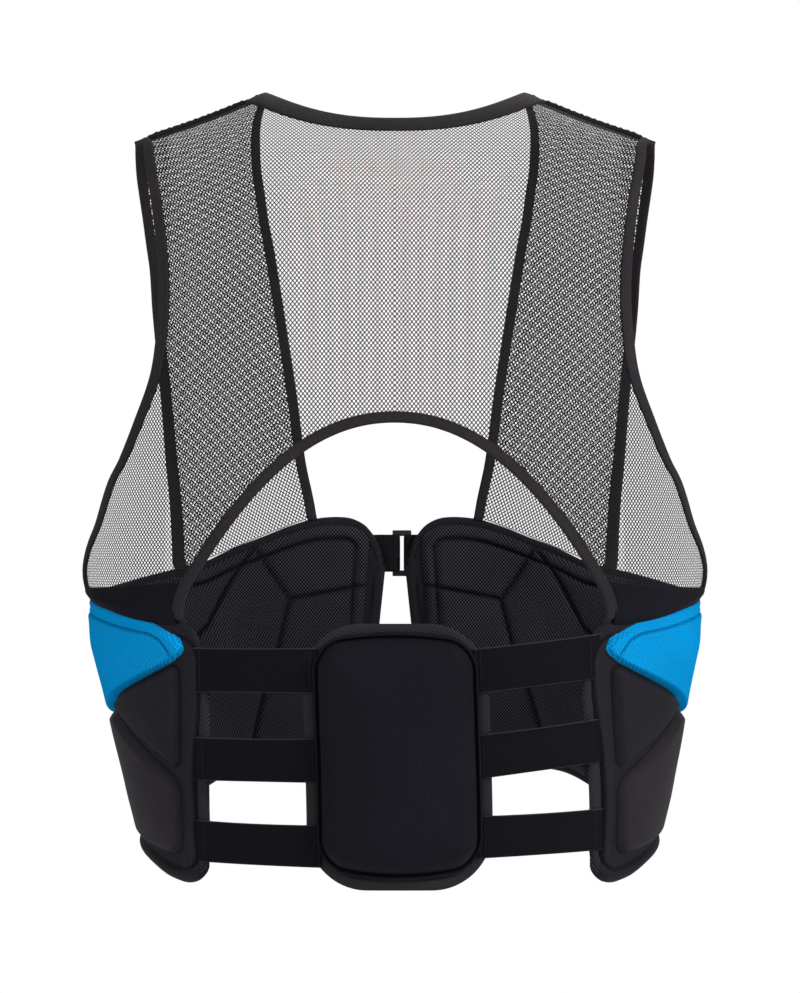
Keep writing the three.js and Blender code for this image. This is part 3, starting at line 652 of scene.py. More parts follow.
def new_object(name: str, mesh: bpy.types.Mesh, finish: Finish) -> bpy.types.Object:
    """Put a finished mesh in the scene.

    Args:
        name: the piece's name.
        mesh: its mesh, in place.
        finish: its finish.

    Returns:
        The new object, riding on the vest.
    """
    piece = bpy.data.objects.new(name, mesh)
    bpy.context.scene.collection.objects.link(piece)
    mesh.materials.append(finish.material())
    mesh.polygons.foreach_set("use_smooth", [True] * len(mesh.polygons))
    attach(piece, "root")
    return piece


def write_cloth_map(mesh: bpy.types.Mesh, flat: np.ndarray) -> None:
    """Give each corner of a mesh its place on the flat cloth.

    Args:
        mesh: the mesh.
        flat: distance across and along the cloth for each vertex.
    """
    corners = np.empty(len(mesh.loops), np.int32)
    mesh.loops.foreach_get("vertex_index", corners)
    layer = mesh.uv_layers.get("cloth") or mesh.uv_layers.new(name="cloth")
    layer.data.foreach_set("uv", flat[corners].astype(np.float32).ravel())


def signed_volume(mesh: bpy.types.Mesh, points: np.ndarray) -> float:
    """Return the volume inside a closed mesh, negative where its faces point inwards.

    Args:
        mesh: the mesh, for its triangles.
        points: where its vertices go.

    Returns:
        The volume.
    """
    mesh.calc_loop_triangles()
    order = np.empty(len(mesh.loop_triangles) * 3, np.int32)
    mesh.loop_triangles.foreach_get("vertices", order)
    a, b, c = (points[order[corner::3]] for corner in range(3))
    return float(np.einsum("ij,ij->i", a, np.cross(b, c)).sum() / 6)


@dataclass(frozen=True)
class Slab:
    """Closed slab of cloth or foam, grown from a flat grid of columns and rows."""

    columns: int
    rows: int
    crowd: float = 0.0

    def shares(self) -> tuple[np.ndarray, np.ndarray]:
        """Return the share across and the share down of each grid point, crowded towards the edges."""
        even = np.linspace(0, 1, self.columns + 1), np.linspace(0, 1, self.rows + 1)
        return np.meshgrid(*(s - self.crowd * np.sin(FULL_TURN * s) / FULL_TURN for s in even))

    def grid(self) -> bmesh.types.BMesh:
        """Return a closed block one grid thick, its top face at height 1.

        Returns:
            The block, not yet a mesh.
        """
        block = bmesh.new()
        bmesh.ops.create_grid(block, x_segments=self.columns, y_segments=self.rows, size=0.5)
        raised = bmesh.ops.extrude_face_region(block, geom=block.faces[:], use_keep_orig=True)
        top = [item for item in raised["geom"] if isinstance(item, bmesh.types.BMVert)]
        bmesh.ops.translate(block, verts=top, vec=(0, 0, 1))
        bmesh.ops.recalc_face_normals(block, faces=block.faces)
        return block

    def lay(self, name: str, outer: np.ndarray, inner: np.ndarray, finish: Finish,
            flat: np.ndarray | None = None, seam_shade: np.ndarray | None = None) -> bpy.types.Object:
        """Build the slab between two faces.

        Args:
            name: the piece's name.
            outer: points of the outer face, rows by columns.
            inner: points of the inner face, rows by columns.
            finish: its finish.
            flat: place of each grid point on the flat cloth, or None to measure it on the outer face.
            seam_shade: painted shade of each grid point along seams and grooves, from 0 to 1, or None for
                none.

        Returns:
            The new object.
        """
        mesh = mesh_from(name, self.grid())
        raw = spots_of(mesh)
        column = np.rint((raw[:, 0] + 0.5) * self.columns).astype(int)
        row = np.rint((0.5 - raw[:, 1]) * self.rows).astype(int)
        points = np.where(raw[:, 2:] > 0.5, outer[row, column], inner[row, column])
        if signed_volume(mesh, points) < 0:
            mesh.flip_normals()
        mesh.vertices.foreach_set("co", points.astype(np.float32).ravel())
        if flat is None:
            flat = np.stack(travelled(outer), axis=-1)
        write_cloth_map(mesh, flat[row, column])
        # The painted shade is kept as a point attribute that darkens the material's colour.
        if seam_shade is not None:
            layer = mesh.attributes.new("seam_shade", "FLOAT", "POINT")
            layer.data.foreach_set("value", np.clip(seam_shade[row, column], 0, 1).astype(np.float32))
        mesh.update()
        return new_object(name, mesh, finish)


def dress_part(piece: bpy.types.Object, finish: Finish, chosen: np.ndarray) -> None:
    """Give some of a slab's faces a second finish.

    Args:
        piece: the slab's object.
        finish: the second finish.
        chosen: tells for each grid point, rows by columns, whether it lies on that part.
    """
    mesh = piece.data
    mesh.materials.append(finish.material())
    one_face = chosen[::-1].ravel()
    spots = np.concatenate([one_face, one_face])
    for face in mesh.polygons:
        if all(spots[vertex] for vertex in face.vertices):
            face.material_index = 1


def gone_along(line: np.ndarray) -> np.ndarray:
    """Return the distance gone at each point of a line."""
    return np.concatenate([[0.0], np.cumsum(np.linalg.norm(np.diff(line, axis=0), axis=1))])


def travelled(points: np.ndarray) -> tuple[np.ndarray, np.ndarray]:
    """Return the distance gone along each row and down each column of a grid of points.

    Args:
        points: rows by columns of points.

    Returns:
        The distances along the rows and those down the columns.
    """
    along = np.linalg.norm(np.diff(points, axis=1), axis=-1)
    down = np.linalg.norm(np.diff(points, axis=0), axis=-1)
    across_sum = np.concatenate([np.zeros((len(points), 1)), np.cumsum(along, axis=1)], axis=1)
    down_sum = np.concatenate([np.zeros((1, points.shape[1])), np.cumsum(down, axis=0)], axis=0)
    return across_sum, down_sum


def border(points: np.ndarray, corner: float) -> np.ndarray:
    """Measure how far each point of a grid lies from the grid's border.

    Args:
        points: rows by columns of points.
        corner: radius that rounds the lines of equal distance at the corners.

    Returns:
        The distances.
    """
    across, down = travelled(points)
    near_side = np.minimum(across, across[:, -1:] - across)
    near_end = np.minimum(down, down[-1:] - down)
    short = np.minimum(near_side, near_end)
    in_corner = np.maximum(0, corner - near_side), np.maximum(0, corner - near_end)
    rounded = corner - np.hypot(*in_corner)
    return np.where((in_corner[0] > 0) & (in_corner[1] > 0), rounded, short)


@dataclass
class Chart:
    """One face of the torso laid out flat: distance round it from its middle and distance up it."""

    facing: int
    reach: float = 0.335
    turns: int = 110
    steps: int = 170
    tables: np.ndarray = field(init=False)

    def __post_init__(self) -> None:
        """Work out the tables of turn, height and distances."""
        turn_share, depth_share = np.meshgrid(
            np.linspace(0, 1, self.turns + 1), np.linspace(0, 1, self.steps + 1), indexing="ij")
        turn, z = self.spot(turn_share, depth_share)
        down_gone, round_gone = travelled(TORSO.point(turn, z))
        up_gone = z[:, -1:] + down_gone[:, -1:] - down_gone
        self.tables = np.stack([round_gone, up_gone], axis=-1)

    def spot(self, turn_share: np.ndarray, depth_share: np.ndarray) -> tuple[np.ndarray, np.ndarray]:
        """Return the turn and height for shares round from the middle and down from the shoulder.

        Args:
            turn_share: 0 at the middle line and 1 at the side.
            depth_share: 0 at the shoulder and 1 at the foot of the chart.

        Returns:
            The turns and the heights.
        """
        turn = self.facing * CHEST_TURN * (1 - turn_share)
        drop = self.reach * depth_share**2
        z = -drop
        for _ in range(4):
            z = TORSO.shoulder_line(TORSO.point(turn, z)[..., 0]) - drop
        return turn, z

    def look_up(self, turn_share: np.ndarray, depth_share: np.ndarray) -> tuple:
        """Read the tables between their rows, with the slope of each distance.

        Args:
            turn_share: 0 at the middle line and 1 at the side.
            depth_share: 0 at the shoulder and 1 at the foot of the chart.

        Returns:
            The distances round and up, and how fast each grows with its share.
        """
        at = np.clip(turn_share * self.turns, 0, self.turns - 1e-6)
        to = np.clip(depth_share * self.steps, 0, self.steps - 1e-6)
        i, j = at.astype(int), to.astype(int)
        a, b = (at - i)[:, None], (to - j)[:, None]
        corners = self.tables[i, j], self.tables[i + 1, j], self.tables[i, j + 1], self.tables[i + 1, j + 1]
        value = mix(mix(corners[0], corners[1], a), mix(corners[2], corners[3], a), b)
        round_slope = mix(corners[1] - corners[0], corners[3] - corners[2], b)[:, 0] * self.turns
        down_slope = mix(corners[2] - corners[0], corners[3] - corners[1], a)[:, 1] * self.steps
        return value[:, 0], value[:, 1], round_slope, down_slope

    def wrap(self, across: np.ndarray, up: np.ndarray) -> tuple[np.ndarray, ...]:
        """Find the turn and height for distances on the flat cloth.

        Args:
            across: distance from the middle line.
            up: distance up the cloth, with the torso's own heights at the bottom.

        Returns:
            The turns, the heights and how far each spot lies off the torso's face.
        """
        turn_share = np.full(len(across), 0.5)
        depth_share = np.full(len(across), 0.6)
        for _ in range(WRAP_ROUNDS):
            here, high, round_slope, down_slope = self.look_up(turn_share, depth_share)
            turn_share = np.clip(turn_share + (across - here) / round_slope, 0, 1)
            depth_share = np.clip(depth_share + (up - high) / down_slope, 0, 1)
        here, high, _, _ = self.look_up(turn_share, depth_share)
        turn, z = self.spot(turn_share, depth_share)
        return turn, z, np.hypot(across - here, up - high)


@dataclass
class NetCloth:
    """Warp-knitted net: staggered diamond holes between fine yarns, trimmed to a panel's outline."""

    pitch_across: float = 0.00259
    pitch_along: float = 0.0032
    strand: float = 0.00061
    front_strand: float = 0.00068
    side_strand: float = 0.00073
    side_reach: float = 0.15
    crimp: float = 0.00014
    lift: float = -0.0006

    def build(self, name: str, chart: Chart, side: int, centre: tuple, size: tuple, grain: float,
              inside: Callable) -> bpy.types.Object:
        """Build one panel of net.

        Args:
            name: the piece's name.
            chart: the face of the torso that it lies on.
            side: 0 for a panel across the middle, or the side it is on.
            centre: middle of the cloth that it is cut from, as distances across and up.
            size: width and length of that cloth.
            grain: degrees that the cloth's grain leans.
            inside: tells for signed distance, turn and height whether a spot is on the panel.

        Returns:
            The new object.
        """
        columns = round(size[0] / self.pitch_across)
        rows = round(size[1] / self.pitch_along)
        net = bmesh.new()
        bmesh.ops.create_grid(net, x_segments=columns, y_segments=rows, size=0.5)
        bmesh.ops.scale(net, verts=net.verts, vec=(*size, 1))
        bmesh.ops.rotate(net, verts=net.verts, matrix=Matrix.Rotation(np.radians(grain), 3, "Z"))
        bmesh.ops.translate(net, verts=net.verts, vec=(*centre, self.crimp))
        self.trim(net, chart, inside)
        squares = [edge for edge in net.edges if len(edge.link_faces) == 2]
        poked = bmesh.ops.poke(net, faces=net.faces[:])
        bmesh.ops.translate(net, verts=poked["verts"], vec=(0, 0, -2 * self.crimp))
        bmesh.ops.dissolve_edges(net, edges=squares, use_verts=False, use_face_split=False)
        holes = net.faces[:]
        strand = self.strand if chart.facing < 0 else self.front_strand
        closer = [hole for hole in holes if abs(hole.calc_center_median().x) > self.side_reach]
        plain = [hole for hole in holes if abs(hole.calc_center_median().x) <= self.side_reach]
        bmesh.ops.inset_individual(net, faces=plain, thickness=strand / 2, use_even_offset=True)
        bmesh.ops.inset_individual(net, faces=closer, thickness=self.side_strand / 2, use_even_offset=True)
        bmesh.ops.delete(net, geom=holes, context="FACES")
        return self.wrapped(name, net, chart, side)

    def trim(self, net: bmesh.types.BMesh, chart: Chart, inside: Callable) -> None:
        """Delete the cells whose middles lie outside the panel.

        Args:
            net: the flat grid.
            chart: the face of the torso that it lies on.
            inside: tells for signed distance, turn and height whether a spot is on the panel.
        """
        centres = np.array([cell.calc_center_median()[:2] for cell in net.faces])
        turn, z, off = chart.wrap(np.abs(centres[:, 0]), centres[:, 1])
        keep = inside(centres[:, 0], turn, z) & (off < 0.0005)
        spare = [cell for cell, kept in zip(net.faces, keep) if not kept]
        bmesh.ops.delete(net, geom=spare, context="FACES")

    def wrapped(self, name: str, net: bmesh.types.BMesh, chart: Chart, side: int) -> bpy.types.Object:
        """Lay the flat net on the torso.

        Args:
            name: the piece's name.
            net: the flat net.
            chart: the face of the torso that it lies on.
            side: 0 for a panel across the middle, or the side it is on.

        Returns:
            The new object.
        """
        mesh = mesh_from(name, net)
        raw = spots_of(mesh).astype(float)
        turn, z, _ = chart.wrap(np.abs(raw[:, 0]), raw[:, 1])
        halves = np.where(raw[:, 0] < 0, -1, 1) if side == 0 else side
        points = TORSO.lifted(halves, turn, z, self.lift + raw[:, 2])
        mesh.vertices.foreach_set("co", points.astype(np.float32).ravel())
        write_cloth_map(mesh, raw[:, :2])
        mesh.update()
        sample = mesh.polygons[:NORMAL_SAMPLE]
        outwards = sum(face.normal.x * face.center.x + face.normal.y * face.center.y for face in sample)
        if outwards < 0:
            mesh.flip_normals()
        return new_object(name, mesh, BLACK_NET)


def cloth_area(piece: bpy.types.Object) -> float:
    """Return the area of a piece's faces."""
    areas = np.empty(len(piece.data.polygons))
    piece.data.polygons.foreach_get("area", areas)
    return float(areas.sum())


def margins(points: np.ndarray) -> tuple[np.ndarray, ...]:
    """Return how far each grid point lies from the first and last column and the first and last row."""
    across, down = travelled(points)
    return across, across[:, -1:] - across, down, down[-1:] - down


def rounded(first: np.ndarray, second: np.ndarray, corner: float) -> np.ndarray:
    """Return the lesser of two distances, its level lines rounded where the two meet.

    Args:
        first: distance from one edge.
        second: distance from the other edge.
        corner: radius of the rounding.

    Returns:
        The distance from the rounded outline.
    """
    reach = np.hypot(np.maximum(0, corner - first), np.maximum(0, corner - second))
    return np.where((first < corner) & (second < corner), corner - reach, np.minimum(first, second))


def roll_off(distance: np.ndarray, width: float) -> np.ndarray:
    """Return how far a rounded edge falls away, 1 at the edge and 0 past its width."""
    left = 1 - np.clip(distance / width, 0, 1)
    return 1 - np.sqrt(np.maximum(0, 1 - left * left))


@dataclass(frozen=True)
class Track:
    """Line on the torso, as a side, turn and height at each station."""

    side: np.ndarray
    turn: np.ndarray
    z: np.ndarray

    def joined(self, other: "Track") -> "Track":
        """Return this line with another after it."""
        pairs = ((self.side, other.side), (self.turn, other.turn), (self.z, other.z))
        return Track(*(np.concatenate(pair) for pair in pairs))

    def other_side(self) -> "Track":
        """Return the same line mirrored and run the other way."""
        return Track(-self.side[::-1], self.turn[::-1], self.z[::-1])

    def without_first(self) -> "Track":
        """Return this line without its first station."""
        return Track(self.side[1:], self.turn[1:], self.z[1:])


def track(side: int, turn: np.ndarray, z: np.ndarray) -> Track:
    """Return a line that stays on one side."""
    turn, z = np.broadcast_arrays(np.asarray(turn, float), np.asarray(z, float))
    return Track(np.full(turn.shape, float(side)), turn, z)


@dataclass
class Stitching:
    """Rows of short stitches, gathered into one piece."""

    pitch: float = 0.0030
    length: float = 0.0021
    radius: float = 0.00022
    flat: float = 0.6

    def __post_init__(self) -> None:
        """Start with no stitches."""
        self.thread = bmesh.new()

    def sew(self, line: np.ndarray) -> None:
        """Add a row of stitches along a line of points.

        Args:
            line: the points, one after another.
        """
        gone = gone_along(line)
        starts = np.arange(self.pitch / 2, gone[-1] - self.length, self.pitch)
        ends = starts + self.length
        first = np.stack([np.interp(starts, gone, line[:, axis]) for axis in range(3)], axis=1)
        last = np.stack([np.interp(ends, gone, line[:, axis]) for axis in range(3)], axis=1)
        for start, end in zip(first, last):
            run = Vector(end - start)
            turned = run.to_track_quat("Z", "Y").to_matrix().to_4x4()
            place = Matrix.Translation(Vector(start + end) / 2) @ turned
            bmesh.ops.create_cone(
                self.thread, cap_ends=True, segments=5, radius1=self.radius, radius2=self.radius * self.flat,
                depth=run.length, matrix=place)

    def finish(self, name: str) -> bpy.types.Object:
        """Return the stitches as one piece."""
        mesh = mesh_from(name, self.thread)
        write_cloth_map(mesh, spots_of(mesh)[:, ::2])
        return new_object(name, mesh, THREAD)


@dataclass
class Bindings:
    """Folded tapes round the neck, the armholes and the arch, and the seams over the shoulders."""

    stitching: Stitching
    thickness: float = 0.0030
    neck_width: float = 0.0138
    edge_width: float = 0.0068
    armhole_width: float = 0.0092
    arch_width: float = 0.007
    tape_width: float = 0.013
    tape_thickness: float = 0.0026
    tape_rise: float = 0.0015
    stitch_line: float = 0.78
    stitch_depth: float = 0.00035
    tuck_depth: float = 0.0034
    tuck_run: float = 0.0035
    side_turn: float = -12.0
    side_reach: float = 17.0
    armhole_end: float = 0.005
    stations: int = 150

    def tape(self, name: str, free: Track, sewn: Track) -> bpy.types.Object:
        """Build one folded tape between its free and its sewn edge.

        Args:
            name: the piece's name.
            free: the folded edge.
            sewn: the edge sewn to the cloth.

        Returns:
            The new object.
        """
        slab = Slab(10, len(free.turn) - 1)
        across, _ = slab.shares()
        turn = mix(free.turn[:, None], sewn.turn[:, None], across)
        z = mix(free.z[:, None], sewn.z[:, None], across)
        side = np.broadcast_to(free.side[:, None], turn.shape)
        fold = np.sqrt(np.maximum(0.0, 1 - (1 - np.clip(across / 0.3, 0, 1)) ** 2))
        hem = 1 - 0.6 * ease((across - 0.86) / 0.14)
        seam = groove(across - self.stitch_line, 0.14)
        half = self.thickness / 2 * (0.12 + 0.88 * fold * hem) - self.stitch_depth * seam
        half = half * (1 + 0.05 * np.sin(np.arange(len(turn)) * 1.9)[:, None] * (across > 0.4))
        above_shell = z - PATTERN.wing_top(turn)
        away = np.abs(turn - self.side_turn) > self.side_reach
        sunk = -self.tuck_depth * ease(1 - above_shell / self.tuck_run) * away
        outer = TORSO.lifted(side, turn, z, sunk + half)
        inner = TORSO.lifted(side, turn, z, sunk - half)
        piece = slab.lay(name, outer, inner, BINDING)
        column = round(self.stitch_line * slab.columns)
        self.stitching.sew(outer[:, column])
        self.stitching.sew(inner[:, column])
        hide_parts(name.replace("tape", "binding"))
        return piece

    def front_run(self, edge: Callable, top: float, width: float, way: int) -> tuple[Track, Track]:
        """Return the free and sewn edge of a tape that climbs a front strap to the shoulder.

        Args:
            edge: gives the free edge's turn for a height.
            top: height at the shoulder.
            width: the tape's width.
            way: the way from the free to the sewn edge, -1 or +1.

        Returns:
            The free and the sewn edge, from the shell to the shoulder, on the right.
        """
        bottom = meeting(edge, PATTERN.wing_top, -PATTERN.wing_top_drop) - 0.001
        share = np.linspace(1, 0, self.stations)[:-1]
        z = mix(top, bottom, share**2)
        free = edge(z)
        return track(1, free, z), track(1, TORSO.beside(free, z, width, way), z)

    def armhole(self, name: str) -> bpy.types.Object:
        """Build one armhole's tape, up the front, over the shoulder and down the back.

        Args:
            name: left or right.

        Returns:
            The new object.
        """
        tip = -TORSO.tip_drop
        free, sewn = self.front_run(PATTERN.front_outer, tip, self.armhole_width, 1)
        share = np.linspace(0, 1, self.stations)
        z = mix(tip, -PATTERN.hem_side - self.armhole_end, share**2)
        edge = PATTERN.back_armhole(z)
        inside = TORSO.beside(edge, z, self.armhole_width, -1)
        inner_x = TORSO.shoulder_half - self.armhole_width
        inside[0] = -TORSO.turn_at(inner_x, TORSO.shoulder_line(inner_x))
        inner_z = z.copy()
        inner_z[0] = TORSO.shoulder_line(inner_x)
        free = free.joined(track(1, edge, z))
        sewn = sewn.joined(track(1, inside, inner_z))
        side = SIDES[name]
        free, sewn = (track(side, line.turn, line.z) for line in (free, sewn))
        return self.tape(f"armhole_tape_{name}", free, sewn)

    def neck(self) -> bpy.types.Object:
        """Build the tape down both front edges and round the back of the neck.

        Returns:
            The new object.
        """
        free, sewn = self.front_run(PATTERN.front_inner, TORSO.neck_rise, self.edge_width, -1)
        share = 1 - np.linspace(0, 1, self.stations // 2) ** 2
        for outwards in (0.0, self.neck_width):
            z = PATTERN.neck_height(share, outwards)
            x = share * (TORSO.neck_half + outwards)
            line = track(1, -TORSO.turn_at(x, z), z)
            if outwards:
                sewn = sewn.joined(line)
            else:
                free = free.joined(line)
        free, sewn = (half.joined(half.other_side().without_first()) for half in (free, sewn))
        return self.tape("neck_tape", free, sewn)

    def arch(self) -> bpy.types.Object:
        """Build the tape round the arch and down to the shells.

        Returns:
            The new object.
        """
        free, sewn = arch_lines(self.arch_width)
        halves = []
        for line in (free, sewn):
            right = track(1, -TORSO.turn_at(line[:, 0], line[:, 1]), line[:, 1])
            halves.append(right.other_side().joined(right.without_first()))
        return self.tape("arch_tape", *halves)

    def shoulder(self, name: str) -> bpy.types.Object:
        """Build the folded seam over one shoulder.

        Args:
            name: left or right.

        Returns:
            The new object.
        """
        side = SIDES[name]
        slab = Slab(44, 22)
        across, down = slab.shares()
        start = TORSO.neck_half + self.neck_width * 0.5
        end = TORSO.shoulder_half - self.armhole_width * 0.5
        x = mix(start, end, across)
        seam = TORSO.shoulder_line(x)
        reach = np.abs(2 * down - 1)
        turn = np.where(down < 0.5, -1, 1) * TORSO.turn_at(x, seam)
        z = np.where(reach > 0, TORSO.below(turn, seam, reach * self.tape_width / 2), seam)
        fold = 0.15 + 0.85 * np.sqrt(np.maximum(0, 1 - reach**3))
        pucker = 0.0005 * np.sin(x * 1500) * (1 - reach)
        from_ends = np.minimum(x - start, end - x)
        swell = self.tape_rise * np.sqrt(np.maximum(0, 1 - reach**2)) * ease(from_ends / 0.010)
        ridge = self.tape_thickness / 2 * fold + swell + pucker
        outer = TORSO.lifted(side, turn, z, ridge)
        inner = TORSO.lifted(side, turn, z, -self.tape_thickness / 2 * fold)
        piece = slab.lay(f"shoulder_fold_{name}", outer, inner, SEAM_TAPE)
        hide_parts(f"shoulder_seam_{name}")
        return piece


def arch_lines(width: float) -> tuple[np.ndarray, np.ndarray]:
    """Work out the free edge of the arch and the edge sewn to the net, on the right.

    Args:
        width: the tape's width.

    Returns:
        Both lines from the middle down to the shell, as rows of x and z.
    """
    share = np.linspace(0, 1, 90)
    tail = np.array([(1.014, 1.065), (1.02, 1.11), (1.018, 1.16), (1.005, 1.22)])
    ends = Curve([(1.0, 1.0), *((drop, out) for out, drop in tail)])
    drops = np.linspace(1.0, 1.22, 26)[1:]
    x = np.concatenate([share, ends(drops)]) * PATTERN.arch_half
    z = np.concatenate([PATTERN.arch_edge(share), -PATTERN.arch_top - drops * PATTERN.arch_height])
    half = np.stack([x, z], axis=1)
    whole = np.concatenate([half[:0:-1] * (-1, 1), half])
    gone = gone_along(whole)
    even = np.linspace(0, gone[-1], 321)
    free = np.stack([np.interp(even, gone, whole[:, axis]) for axis in range(2)], axis=1)
    for _ in range(30):
        free[1:-1] = (free[:-2] + 2 * free[1:-1] + free[2:]) / 4
    run = np.gradient(free, axis=0)
    run /= np.linalg.norm(run, axis=1, keepdims=True)
    sewn = free + np.stack([-run[:, 1], run[:, 0]], axis=1) * width
    middle = len(free) // 2
    return free[middle:], sewn[middle:]


@dataclass
class Nets:
    """The three net panels: the back and the two front straps."""

    cloth: NetCloth
    tuck: float = 0.0035
    front_grain: float = -20.0

    def back(self) -> bpy.types.Object:
        """Build the back panel, from the neckline to the arch and the hem.

        Returns:
            The new object.
        """
        def inside(across: np.ndarray, turn: np.ndarray, z: np.ndarray) -> np.ndarray:
            """Tell which spots lie on the panel.

            Args:
                across: signed distance across the flat cloth; not used.
                turn: turn of each spot.
                z: height of each spot.

            Returns:
                Whether each spot is on it.
            """
            x = TORSO.point(turn, z)[..., 0]
            armhole = TORSO.beside(PATTERN.back_armhole(z), z, self.tuck, -1)
            share = np.clip(x / TORSO.neck_half, 0, 1)
            neck = np.where(x < TORSO.neck_half, PATTERN.neck_height(share) - self.tuck, 1.0)
            arch_top = PATTERN.above_arch(np.clip(x / PATTERN.arch_half, 0, 1), self.tuck)
            low = np.where(x < PATTERN.arch_half, arch_top, PATTERN.hem(turn) - 0.001)
            return (turn < armhole) & (z < neck) & (z > low)

        piece = self.cloth.build("back_net", Chart(-1), 0, (0.0, -0.115), (0.56, 0.39), 0.0, inside)
        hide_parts("back_mesh")
        return piece

    def front(self, name: str) -> bpy.types.Object:
        """Build one front strap, from the shoulder to the shell.

        Args:
            name: left or right.

        Returns:
            The new object.
        """
        side = SIDES[name]

        def inside(across: np.ndarray, turn: np.ndarray, z: np.ndarray) -> np.ndarray:
            """Tell which spots lie on the strap.

            Args:
                across: signed distance across the flat cloth.
                turn: turn of each spot.
                z: height of each spot.

            Returns:
                Whether each spot is on it.
            """
            outer = TORSO.beside(PATTERN.front_outer(z), z, self.tuck, 1)
            inner = TORSO.beside(PATTERN.front_inner(z), z, self.tuck, -1)
            return (across > 0) & (turn > outer) & (turn < inner) & (z > PATTERN.wing_top(turn) - 0.001)

        piece = self.cloth.build(
            f"front_net_{name}", Chart(1), side, (0.12, -0.12), (0.30, 0.48), self.front_grain, inside)
        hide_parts(f"front_mesh_{name}")
        return piece


@dataclass
class SideGuard:
    """Wrap-round guard on one side: gusset, shell, raised pads and lining."""

    name: str
    shell_thickness: float = 0.0045
    lining_thickness: float = 0.0037
    lining_inset: float = 0.007
    layer_gap: float = 0.0006
    rise: float = 0.005
    rim_width: float = 0.009
    shell_edge: float = 0.0035
    seam_width: float = 0.0020
    cover_rise: float = 0.0026
    roll_rise: float = 0.0046
    roll_height: float = 0.0054
    roll_width: float = 0.0056
    ridge_drop: float = 0.0076
    ridge_depth: float = 0.0018
    pad_sink: float = 0.0008
    band_settle: float = 0.0042
    top_settle: float = 0.0024
    gusset_thickness: float = 0.0014

    @property
    def side(self) -> int:
        """Return +1 on the right and -1 on the left."""
        return SIDES[self.name]

    def laid(self, kind: str, node: str, slab: Slab, turn: np.ndarray, z: np.ndarray, over: np.ndarray,
             under: np.ndarray, finish: Finish,
             seam_shade: np.ndarray | None = None) -> bpy.types.Object:
        """Build one piece between two heights off the torso.

        Args:
            kind: the piece's name without its side.
            node: name of the node that it stands for, without its side.
            slab: the grid that it is made from.
            turn: turn of each grid point.
            z: height of each grid point.
            over: how far the outer face lies off the torso.
            under: how far the inner face lies off the torso.
            finish: its finish.
            seam_shade: painted shade of each grid point along seams and grooves, or None for none.

        Returns:
            The new object.
        """
        outer = TORSO.lifted(self.side, turn, z, over)
        inner = TORSO.lifted(self.side, turn, z, under)
        flat = np.stack([self.girth(turn), z], axis=-1)
        piece = slab.lay(f"{kind}_{self.name}", outer, inner, finish, flat, seam_shade)
        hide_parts(f"{node}_{self.name}")
        return piece

    def wing_spots(self, slab: Slab, side_inset: float = 0.0,
                   end_inset: float = 0.0) -> tuple[np.ndarray, np.ndarray]:
        """Return the turn and height of each grid point on the shell.

        Args:
            slab: the grid.
            side_inset: share left free at the back and front edges.
            end_inset: share left free at the top and bottom edges.

        Returns:
            The turns and the heights.
        """
        across, down = slab.shares()
        across = mix(side_inset, 1 - side_inset, across)
        down = mix(end_inset, 1 - end_inset, down)

        def turn_for(z: np.ndarray) -> np.ndarray:
            """Return the turn at a height."""
            return mix(PATTERN.wing_back_turn(z), PATTERN.wing_front_turn(z), across)

        top = meeting(turn_for, PATTERN.wing_top, -PATTERN.wing_top_drop)
        bottom = meeting(turn_for, PATTERN.wing_bottom, -PATTERN.wing_top_drop - PATTERN.wing_height)
        z = mix(top, bottom, down)
        return turn_for(z), z

    def shell(self) -> bpy.types.Object:
        """Build the shell, with its soft rim and the seam beside it.

        Returns:
            The new object.
        """
        slab = Slab(190, 72, 0.5)
        turn, z = self.wing_spots(slab)
        edge = border(TORSO.point(turn, z), 0.016)
        from_back, _, _, from_bottom = margins(TORSO.point(turn, z))
        half = self.shell_thickness / 2
        inside = edge - self.rim_width
        seam = groove(inside, self.seam_width)
        bead = np.sqrt(np.clip(inside / 0.0018, 0, 1)) * (1 - 0.75 * ease((inside - 0.003) / 0.006))
        foot_roll = np.exp(-((from_bottom - self.roll_height) / self.roll_width) ** 2)
        over = -half * roll_off(edge, self.shell_edge) - 0.0012 * seam
        over = over + self.cover_rise * bead * (1 - ease((from_back - 0.016) / 0.010))
        over = over + self.roll_rise * foot_roll * ease((from_back - 0.004) / 0.01)
        under = -self.shell_thickness + half * roll_off(edge, self.shell_edge)
        # The seam beside the rim also gets painted shade along its groove.
        piece = self.laid("guard_shell", "side_shell", slab, turn, z, over, under, SHELL, seam)
        dress_part(piece, RIM, from_back < self.rim_width - 0.0004)
        return piece

    def pad_spots(self, slab: Slab, back: Callable, front: Callable, top: Callable,
                  bottom: Callable) -> tuple[np.ndarray, np.ndarray]:
        """Return the turn and height of each grid point of a pad.

        Args:
            slab: the grid.
            back: turn of the back edge for a height.
            front: turn of the front edge for a height.
            top: height of the top edge for a turn.
            bottom: height of the bottom edge for a turn.

        Returns:
            The turns and the heights.
        """
        across, down = slab.shares()

        def turn_for(z: np.ndarray) -> np.ndarray:
            """Return the turn at a height."""
            return mix(back(z), front(z), across)

        high = meeting(turn_for, top, -PATTERN.wing_top_drop)
        low = meeting(turn_for, bottom, -PATTERN.wing_top_drop - PATTERN.wing_height)
        z = mix(high, low, down)
        return turn_for(z), z

    def pad_back(self, z: np.ndarray) -> np.ndarray:
        """Return the turn of the blue pad's back edge."""
        return TORSO.beside(PATTERN.wing_back_turn(z), z, PATTERN.pad_flange, 1)

    def black_back(self, z: np.ndarray) -> np.ndarray:
        """Return the turn of the black pads' back edge."""
        return TORSO.beside(PATTERN.wing_back_turn(z), z, PATTERN.seam_flange, 1)

    def pad_front(self, z: np.ndarray) -> np.ndarray:
        """Return the turn of the pads' front edge."""
        return TORSO.beside(PATTERN.wing_front_turn(z), z, PATTERN.pad_flange, -1)

